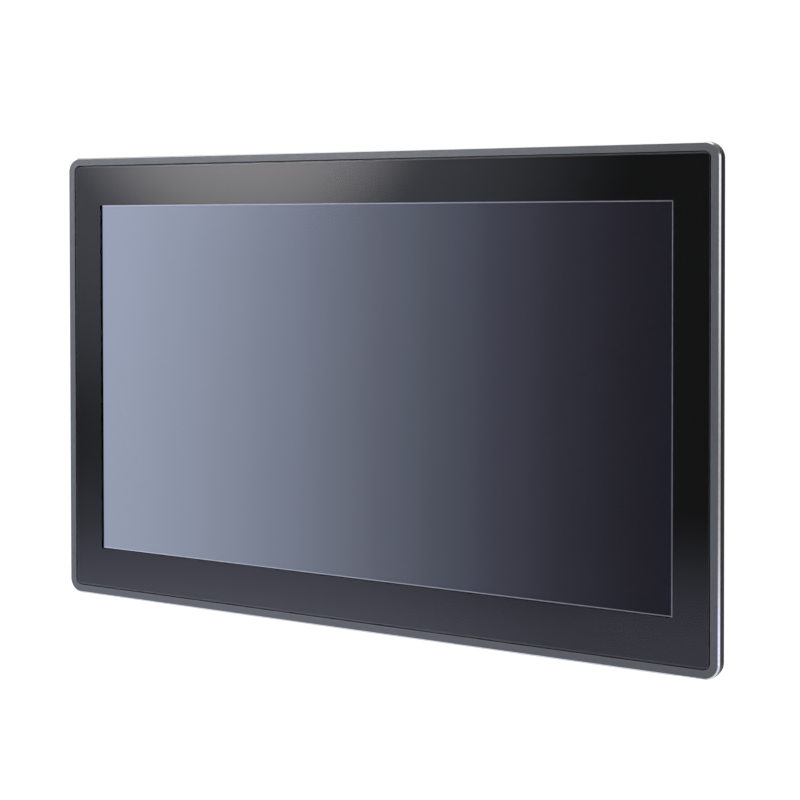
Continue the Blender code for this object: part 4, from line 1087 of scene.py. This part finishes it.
SHELL_EDGE = 0.00018
JACK_HALF = 0.0058             # half width of the network sockets' opening
JACK_LIP = 0.0028              # from the shield's outside to the opening, front and back
JACK_DEPTHS = (0.0090, 0.0118)
JACK_PIN = (0.00035, 0.0003, 0.0105)
JACK_PIN_PITCH = 0.00102
JACK_LIGHT_X = 0.0056
JACK_LIGHT = (0.0013, 0.00035, 0.0022)     # half width, then front and back from the shield's front
JACK_LIGHT_DEPTHS = (-0.00022, 0.0012)
USB_TONGUE_HALF = 0.0056
USB_TONGUE_Y = (0.0001, 0.0018)
USB_TONGUE_DEPTHS = (0.0009, 0.0089)
USB_PIN = (0.0010, 0.0002, 0.0064)
USB_PIN_PITCH = 0.0023
VIDEO_TONGUE = (0.0066, 0.0009)            # half width and half thickness
VIDEO_TONGUE_DEPTHS = (0.0010, 0.0079)
VIDEO_PIN = (0.0005, 0.00018, 0.0056)
VIDEO_PIN_PITCH = 0.0012
SUPPLY_PIN = (0.0011, 0.0011, 0.0095)
SUPPLY_PIN_PITCH = 0.00508
SERIAL_PIN = 0.0005            # radius
SERIAL_PIN_PITCH = 0.00277
SERIAL_ROWS = ((5, -0.0014), (4, 0.0014))
SERIAL_PIN_DEPTHS = (0.0012, 0.0068)
SERIAL_BASE = (0.0082, 0.0040)             # half width and half thickness
SERIAL_BASE_DEPTHS = (0.0048, 0.0066)
JACK_SCREW_X = 0.0125
JACK_SCREW = 0.0026            # radius over the corners
JACK_SCREW_DEPTHS = (-0.0044, -0.0001)
JACK_SCREW_BORE = (0.0012, 0.0034)         # radius and depth


def contact_row(name, count, pitch, centre, size):
    """A row of flat contacts along X; size is width, depth and height."""
    half = Vector(size) / 2
    pins = []
    for index in range(count):
        point = Vector(centre) + Vector(((index - (count - 1) / 2) * pitch, 0.0, 0.0))
        pin = block("pin", point - half, point + half)
        bevel_edges(pin, lies_at(2, (point - half).z), min(size[:2]) * 0.3, 1)
        pins.append(pin)
    return join(name, pins)


def tongue(name, x, half, depths_y, depths_z, corner=0.0003):
    """A flat tongue inside a socket's mouth."""
    return plate(name, (x - half, depths_y[0], depths_z[0]), (x + half, depths_y[1], depths_z[1]), corner, 2)


def shell(node, name, look="nickel", slot="nickel"):
    """The socket's own shape; gives the middle in X and Y and the mouth in Z."""
    refined(node, name, SHELL_EDGE, slot, look)
    x, y, _ = middle(node)
    return x, y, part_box(node)[0].z


def network_ports():
    for node in ("lan_port_1", "lan_port_2"):
        low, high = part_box(node)
        x, _, mouth = shell(node, node + "_shield")
        pins = contact_row(node + "_contacts", 8, JACK_PIN_PITCH, (x, high.y - 0.0040, mouth + 0.0065),
                           JACK_PIN)
        place(pins, "brass", finish("gold contact"))
        liner = tongue(node + "_jack", x, JACK_HALF, (low.y + JACK_LIP, high.y - JACK_LIP),
                       [mouth + depth for depth in JACK_DEPTHS], 0.0004)
        soften(liner, 0.0001, 1)
        place(liner, "black_plastic", finish("black plastic"))
        half, front, back = JACK_LIGHT
        for side, where, lamp in ((-1, "left", "green lens"), (1, "right", "amber lens")):
            light = tongue(f"{node}_light_{where}", x + side * JACK_LIGHT_X, half,
                           (low.y + front, low.y + back),
                           [mouth + depth for depth in JACK_LIGHT_DEPTHS], 0.0002)
            soften(light, 0.00012, 2)
            place(light, "green_lens", finish(lamp))


def usb_ports():
    for node in ("usb_port_1", "usb_port_2"):
        x, y, mouth = shell(node, node + "_shield")
        blade = tongue(node + "_tongue", x, USB_TONGUE_HALF, [y + depth for depth in USB_TONGUE_Y],
                       [mouth + depth for depth in USB_TONGUE_DEPTHS])
        bevel_edges(blade, lies_at(2, mouth + USB_TONGUE_DEPTHS[0]), 0.0003, 2)
        smooth(blade)
        place(blade, "black_plastic", finish("blue plastic"))
        pins = contact_row(node + "_contacts", 4, USB_PIN_PITCH, (x, y - 0.00005, mouth + 0.0050), USB_PIN)
        place(pins, "brass", finish("gold contact"))


def video_port():
    x, y, mouth = shell("video_port", "video_shield")
    half, thick = VIDEO_TONGUE
    blade = tongue("video_tongue", x, half, (y - thick, y + thick),
                   [mouth + depth for depth in VIDEO_TONGUE_DEPTHS])
    soften(blade, 0.00015, 1)
    place(blade, "black_plastic", finish("black plastic"))
    pins = contact_row("video_contacts", 10, VIDEO_PIN_PITCH, (x, y - 0.00095, mouth + 0.0042), VIDEO_PIN)
    place(pins, "brass", finish("gold contact"))


def dc_inlet():
    """A two-pole header for a screw-clamp plug."""
    x, y, mouth = shell("dc_inlet", "dc_header", "green plastic", "black_plastic")
    pins = contact_row("dc_pins", 2, SUPPLY_PIN_PITCH, (x, y, mouth + 0.0062), SUPPLY_PIN)
    place(pins, "nickel", finish("nickel"))


def serial_port():
    """A nine-pin socket with its flange and two jack screws."""
    x, y, mouth = shell("serial_port", "serial_shell")
    near, far = (mouth + depth for depth in SERIAL_PIN_DEPTHS)
    pins = []
    for count, offset in SERIAL_ROWS:
        for index in range(count):
            px = x + (index - (count - 1) / 2) * SERIAL_PIN_PITCH
            pin = bar("pin", SERIAL_PIN, (px, y + offset, near), (px, y + offset, far), 16)
            bevel_edges(pin, lies_at(2, near), 0.0003, 2)
            pins.append(pin)
    pins = join("serial_pins", pins)
    smooth(pins, 40.0)
    place(pins, "brass", finish("gold contact"))
    half, thick = SERIAL_BASE
    near, far = (mouth + depth for depth in SERIAL_BASE_DEPTHS)
    base = plate("serial_insulator", (x - half, y - thick, near), (x + half, y + thick, far), 0.0010, 3)
    soften(base, 0.0001, 1)
    place(base, "black_plastic", finish("black plastic"))
    bottom, top = (mouth + depth for depth in JACK_SCREW_DEPTHS)
    bore, deep = JACK_SCREW_BORE
    for side, where in ((-1, "left"), (1, "right")):
        px = x + side * JACK_SCREW_X
        jack = bar(f"jack_screw_{where}", JACK_SCREW, (px, y, bottom), (px, y, top), 6)
        carve(jack, bar("thread", bore, (px, y, bottom - CUT), (px, y, bottom + deep), 24))
        soften(jack, 0.00022, 2, 35.0)
        place(jack, "nickel", finish("nickel"))


# --- Drive door ------------------------------------------------------------------------------

THUMB_HEAD = 0.006             # length of the thumbscrew's head
KNURLS = 32
KNURL = 0.00022                # radius of one groove
KNURL_MARGIN = 0.0008
THUMB_SLOT = (0.0010, 0.0011)  # width and depth


def drive_door():
    refined("storage_door", "drive_door", 0.0002, "powder_coat", "black powder coat", "worn powder coat",
            body="storage_door")
    pin = merged_copy("drive_door_pin", "door_hinge_pin")
    soften(pin, 0.0003, 3, 50.0)
    place(pin, "zinc_steel", finish("zinc-plated steel"), stands_for=["door_hinge_pin"])


def thumbscrew():
    """Captive thumbscrew with a knurled head."""
    low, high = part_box("door_thumbscrew")
    _, y, z = middle("door_thumbscrew")
    radius = (high.z - low.z) / 2
    seat = high.x - THUMB_HEAD
    head = bar("thumbscrew", radius, (seat, y, z), (high.x, y, z), 96)
    grooves = []
    for index in range(KNURLS):
        angle = 2 * math.pi * index / KNURLS
        cy, cz = y + radius * math.cos(angle), z + radius * math.sin(angle)
        grooves.append(bar("knurl", KNURL, (seat + KNURL_MARGIN, cy, cz), (high.x - KNURL_MARGIN, cy, cz), 6))
    carve(head, join("knurls", grooves))
    bevel_edges(head, lambda e: lies_at(0, high.x)(e) or lies_at(0, seat)(e), 0.00035, 2)
    weld(head, bar("shank", SCREW_SHANK, (low.x, y, z), (seat + THUMB_HEAD / 2, y, z), 24))
    wide, deep = THUMB_SLOT
    carve(head, block("slot", (high.x - deep, y - wide / 2, z - radius),
                      (high.x + CUT, y + wide / 2, z + radius)))
    smooth(head, 35.0)
    place(head, "nickel", finish("nickel"), stands_for=["door_thumbscrew"], body="door_thumbscrew")


# --- Inside ----------------------------------------------------------------------------------

INSIDE = {
    # lcd_cell gets the glowing painted reflection and painted shade.
    "glass_tape": "black rubber", "touch_sensor": "laminated sensor film", "lcd_cell": "display with painted reflection",
    "middle_frame": "black plastic", "backlight_tray": "zinc-plated steel", "optical_sheets": "white film",
    "light_guide": "clear sheet", "led_strip": "white film", "lcd_bracket_left": "zinc-plated steel",
    "lcd_bracket_right": "zinc-plated steel", "timing_board": "circuit board",
    "touch_board": "circuit board", "mainboard": "circuit board", "processor": "nickel",
    "thermal_pad": "grey gap pad", "heat_block": "raw aluminium", "memory_socket": "black plastic",
    "memory_module": "circuit board", "battery_holder": "black plastic", "backup_battery": "nickel",
    "storage_drive": "raw aluminium", "drive_tray": "zinc-plated steel", "display_cable": "black rubber",
    "touch_cable": "black rubber", "backlight_cable": "black rubber",
}


def inner_pieces():
    for node, look in INSIDE.items():
        data = bpy.data.objects[node].data
        if not data.materials:
            data.materials.append(None)
        for index in range(len(data.materials)):
            data.materials[index] = finish(look)


# --- Studio ----------------------------------------------------------------------------------

FLOOR_DROP = 0.55              # from the panel's lowest point to the floor
FLOOR_RADIUS = 2.0
FLOOR_GLOW = 0.03              # brightness of the floor in reflections
HORIZON = (-14.0, -9.0)        # elevations between which the pale floor fades into the room
CAMERA_PLACE = Vector((0.6693, -1.1199, 0.1181))
CAMERA_AHEAD = Vector((-0.5184, 0.8549, -0.0201))
CAMERA_UP = Vector((-0.0094, 0.0178, 0.9998))
CAMERA_SENSOR = 36.0           # width, and the lens's length, both in millimetres
CAMERA_LENS = 78.785
CAMERA_SHIFT = -0.1743         # up, as a share of the sensor's width


def floor():
    """A pale floor, seen from above only, so that it doesn't hide the panel from a camera below it."""
    deselect()
    bpy.ops.mesh.primitive_circle_add(vertices=96, radius=FLOOR_RADIUS, fill_type="NGON",
                                      location=(0.0, 0.0, CAD_BOUNDS[0].z - FLOOR_DROP))
    sheet = settle("studio_floor")
    pale = Finish("pale floor", (0.74, 0.75, 0.82), 0.9)
    pale.vary(pale.noise(1.5), 0.01)
    pale.set("Emission Color", (1.0, 1.0, 1.0, 1.0))
    seen = pale.node("ShaderNodeLightPath").outputs["Is Camera Ray"]
    pale.link(pale.between(seen, FLOOR_GLOW, 1.0, 0.0, 1.0), pale.shader.inputs["Emission Strength"])
    one_sided = pale.node("ShaderNodeMixShader")
    pale.link(pale.node("ShaderNodeNewGeometry").outputs["Backfacing"], one_sided.inputs["Fac"])
    pale.link(pale.shader.outputs["BSDF"], one_sided.inputs[1])
    pale.link(pale.node("ShaderNodeBsdfTransparent").outputs["BSDF"], one_sided.inputs[2])
    pale.link(one_sided.outputs["Shader"], pale.tree.nodes["Material Output"].inputs["Surface"])
    sheet.data.materials.append(pale.material)


def direction(azimuth, elevation):
    """A unit vector: azimuth from straight in front of the panel, positive to its right."""
    a = math.radians(azimuth)
    e = math.radians(elevation)
    return Vector((math.sin(a) * math.cos(e), -math.cos(a) * math.cos(e), math.sin(e)))


SOFT_LIGHTS = (                # azimuth, elevation, inner and outer half angle, brightness, colour
    (-36.2, 4.8, 0.5, 6.6, 4.2, (1.0, 0.955, 0.93)),
    (-37.0, 5.0, 0.5, 14.0, 1.15, (0.88, 0.92, 1.12)),
    (-31.0, 17.0, 2.0, 14.0, 2.1, (1.0, 1.0, 1.0)),
    (-39.0, -20.0, 0.5, 15.0, 1.15, (0.86, 0.90, 1.18)),
    (72.0, 8.0, 3.0, 17.5, 0.9, (0.97, 0.98, 1.0)),
    (71.0, -11.5, 1.0, 6.0, 0.22, (1.25, 1.2, 0.6)),
    (-60.0, 74.0, 16.0, 36.0, 0.95, (1.0, 1.0, 1.0)),
    (-140.0, 35.0, 12.0, 38.0, 2.6, (1.0, 1.0, 1.0)),
    (150.0, 48.0, 10.0, 30.0, 2.6, (1.0, 1.0, 1.0)),
    (180.0, -50.0, 8.0, 26.0, 1.2, (1.0, 1.0, 1.0)),
)
DIM_STUDIO = 0.16              # brightness of the room between the soft lights
DIM_COLOUR = (0.97, 0.98, 1.0)
WHITE_STUDIO = 1.1             # brightness of what the camera sees behind the panel
FAR_FLOOR_COLOUR = (0.76, 0.78, 1.06)
FAR_FLOOR_AHEAD = (-0.1, 0.4, 1.0, 0.08)    # Y of a direction from and to, and the floor's share there


def surroundings():
    """White to the camera, a dim room with soft lights to everything else."""
    world = bpy.data.worlds.new("studio")
    world.use_nodes = True
    bpy.context.scene.world = world
    tree = world.node_tree
    tree.nodes.clear()
    where = tree.nodes.new("ShaderNodeTexCoord").outputs["Generated"]
    total = None
    for azimuth, elevation, inner, outer, brightness, colour in SOFT_LIGHTS:
        facing = tree.nodes.new("ShaderNodeVectorMath")
        facing.operation = "DOT_PRODUCT"
        facing.inputs[1].default_value = direction(azimuth, elevation)
        tree.links.new(where, facing.inputs[0])
        edges = (math.cos(math.radians(outer)), math.cos(math.radians(inner)))
        glow = ranged(tree, facing.outputs["Value"], *edges, 0.0, brightness, "SMOOTHSTEP")
        total = add_light(tree, total, background(tree, colour, glow))
    total = add_light(tree, total, far_floor(tree, where))
    total = add_light(tree, total, background(tree, DIM_COLOUR, DIM_STUDIO))
    white = background(tree, (1.0, 1.0, 1.0), WHITE_STUDIO)
    choice = tree.nodes.new("ShaderNodeMixShader")
    tree.links.new(tree.nodes.new("ShaderNodeLightPath").outputs["Is Camera Ray"], choice.inputs["Fac"])
    tree.links.new(total, choice.inputs[1])
    tree.links.new(white, choice.inputs[2])
    output = tree.nodes.new("ShaderNodeOutputWorld")
    tree.links.new(choice.outputs["Shader"], output.inputs["Surface"])


def ranged(tree, source, start, end, first, last, interpolation="LINEAR"):
    """Map start to end onto first to last."""
    made = tree.nodes.new("ShaderNodeMapRange")
    made.interpolation_type = interpolation
    for socket, value in (("From Min", start), ("From Max", end), ("To Min", first), ("To Max", last)):
        made.inputs[socket].default_value = value
    tree.links.new(source, made.inputs["Value"])
    return made.outputs["Result"]


def background(tree, colour, strength):
    """Light of one colour; its strength is a number or another node's output."""
    made = tree.nodes.new("ShaderNodeBackground")
    made.inputs["Color"].default_value = (*colour, 1.0)
    if isinstance(strength, float):
        made.inputs["Strength"].default_value = strength
    else:
        tree.links.new(strength, made.inputs["Strength"])
    return made.outputs["Background"]


def far_floor(tree, where):
    """The pale floor beyond the modelled one."""
    apart = tree.nodes.new("ShaderNodeSeparateXYZ")
    tree.links.new(where, apart.inputs["Vector"])
    edges = [math.sin(math.radians(elevation)) for elevation in HORIZON]
    below = ranged(tree, apart.outputs["Z"], *edges, 1.0, 0.0, "SMOOTHSTEP")
    ahead = ranged(tree, apart.outputs["Y"], *FAR_FLOOR_AHEAD)
    both = tree.nodes.new("ShaderNodeMath")
    both.operation = "MULTIPLY"
    tree.links.new(below, both.inputs[0])
    tree.links.new(ahead, both.inputs[1])
    return background(tree, FAR_FLOOR_COLOUR, both.outputs["Value"])


def add_light(tree, total, lamp):
    if total is None:
        return lamp
    both = tree.nodes.new("ShaderNodeAddShader")
    tree.links.new(total, both.inputs[0])
    tree.links.new(lamp, both.inputs[1])
    return both.outputs["Shader"]


def camera():
    lens = bpy.data.cameras.new("front view")
    lens.sensor_width = CAMERA_SENSOR
    lens.lens = CAMERA_LENS
    lens.shift_y = CAMERA_SHIFT
    lens.clip_start = 0.01
    lens.clip_end = 100.0
    viewer = bpy.data.objects.new("front view", lens)
    bpy.context.scene.collection.objects.link(viewer)
    back = -CAMERA_AHEAD.normalized()
    right = CAMERA_UP.cross(back).normalized()
    up = back.cross(right)
    viewer.matrix_world = Matrix.Translation(CAMERA_PLACE) @ Matrix((right, up, back)).transposed().to_4x4()
    bpy.context.scene.camera = viewer


def studio():
    camera()
    floor()
    surroundings()
    bpy.context.scene.view_settings.view_transform = "Standard"


# --- The whole panel ---------------------------------------------------------------------------

def build():
    studio()
    front_bezel()
    cover_glass()
    border_print()
    painted_window_highlight()
    gasket()
    rear_housing()
    electronics_box()
    heatsink_cover()
    fasteners()
    threaded_inserts()
    power_button()
    reset_button()
    power_led()
    mode_switch()
    earth_point()
    network_ports()
    usb_ports()
    video_port()
    dc_inlet()
    serial_port()
    drive_door()
    thumbscrew()
    inner_pieces()


build()
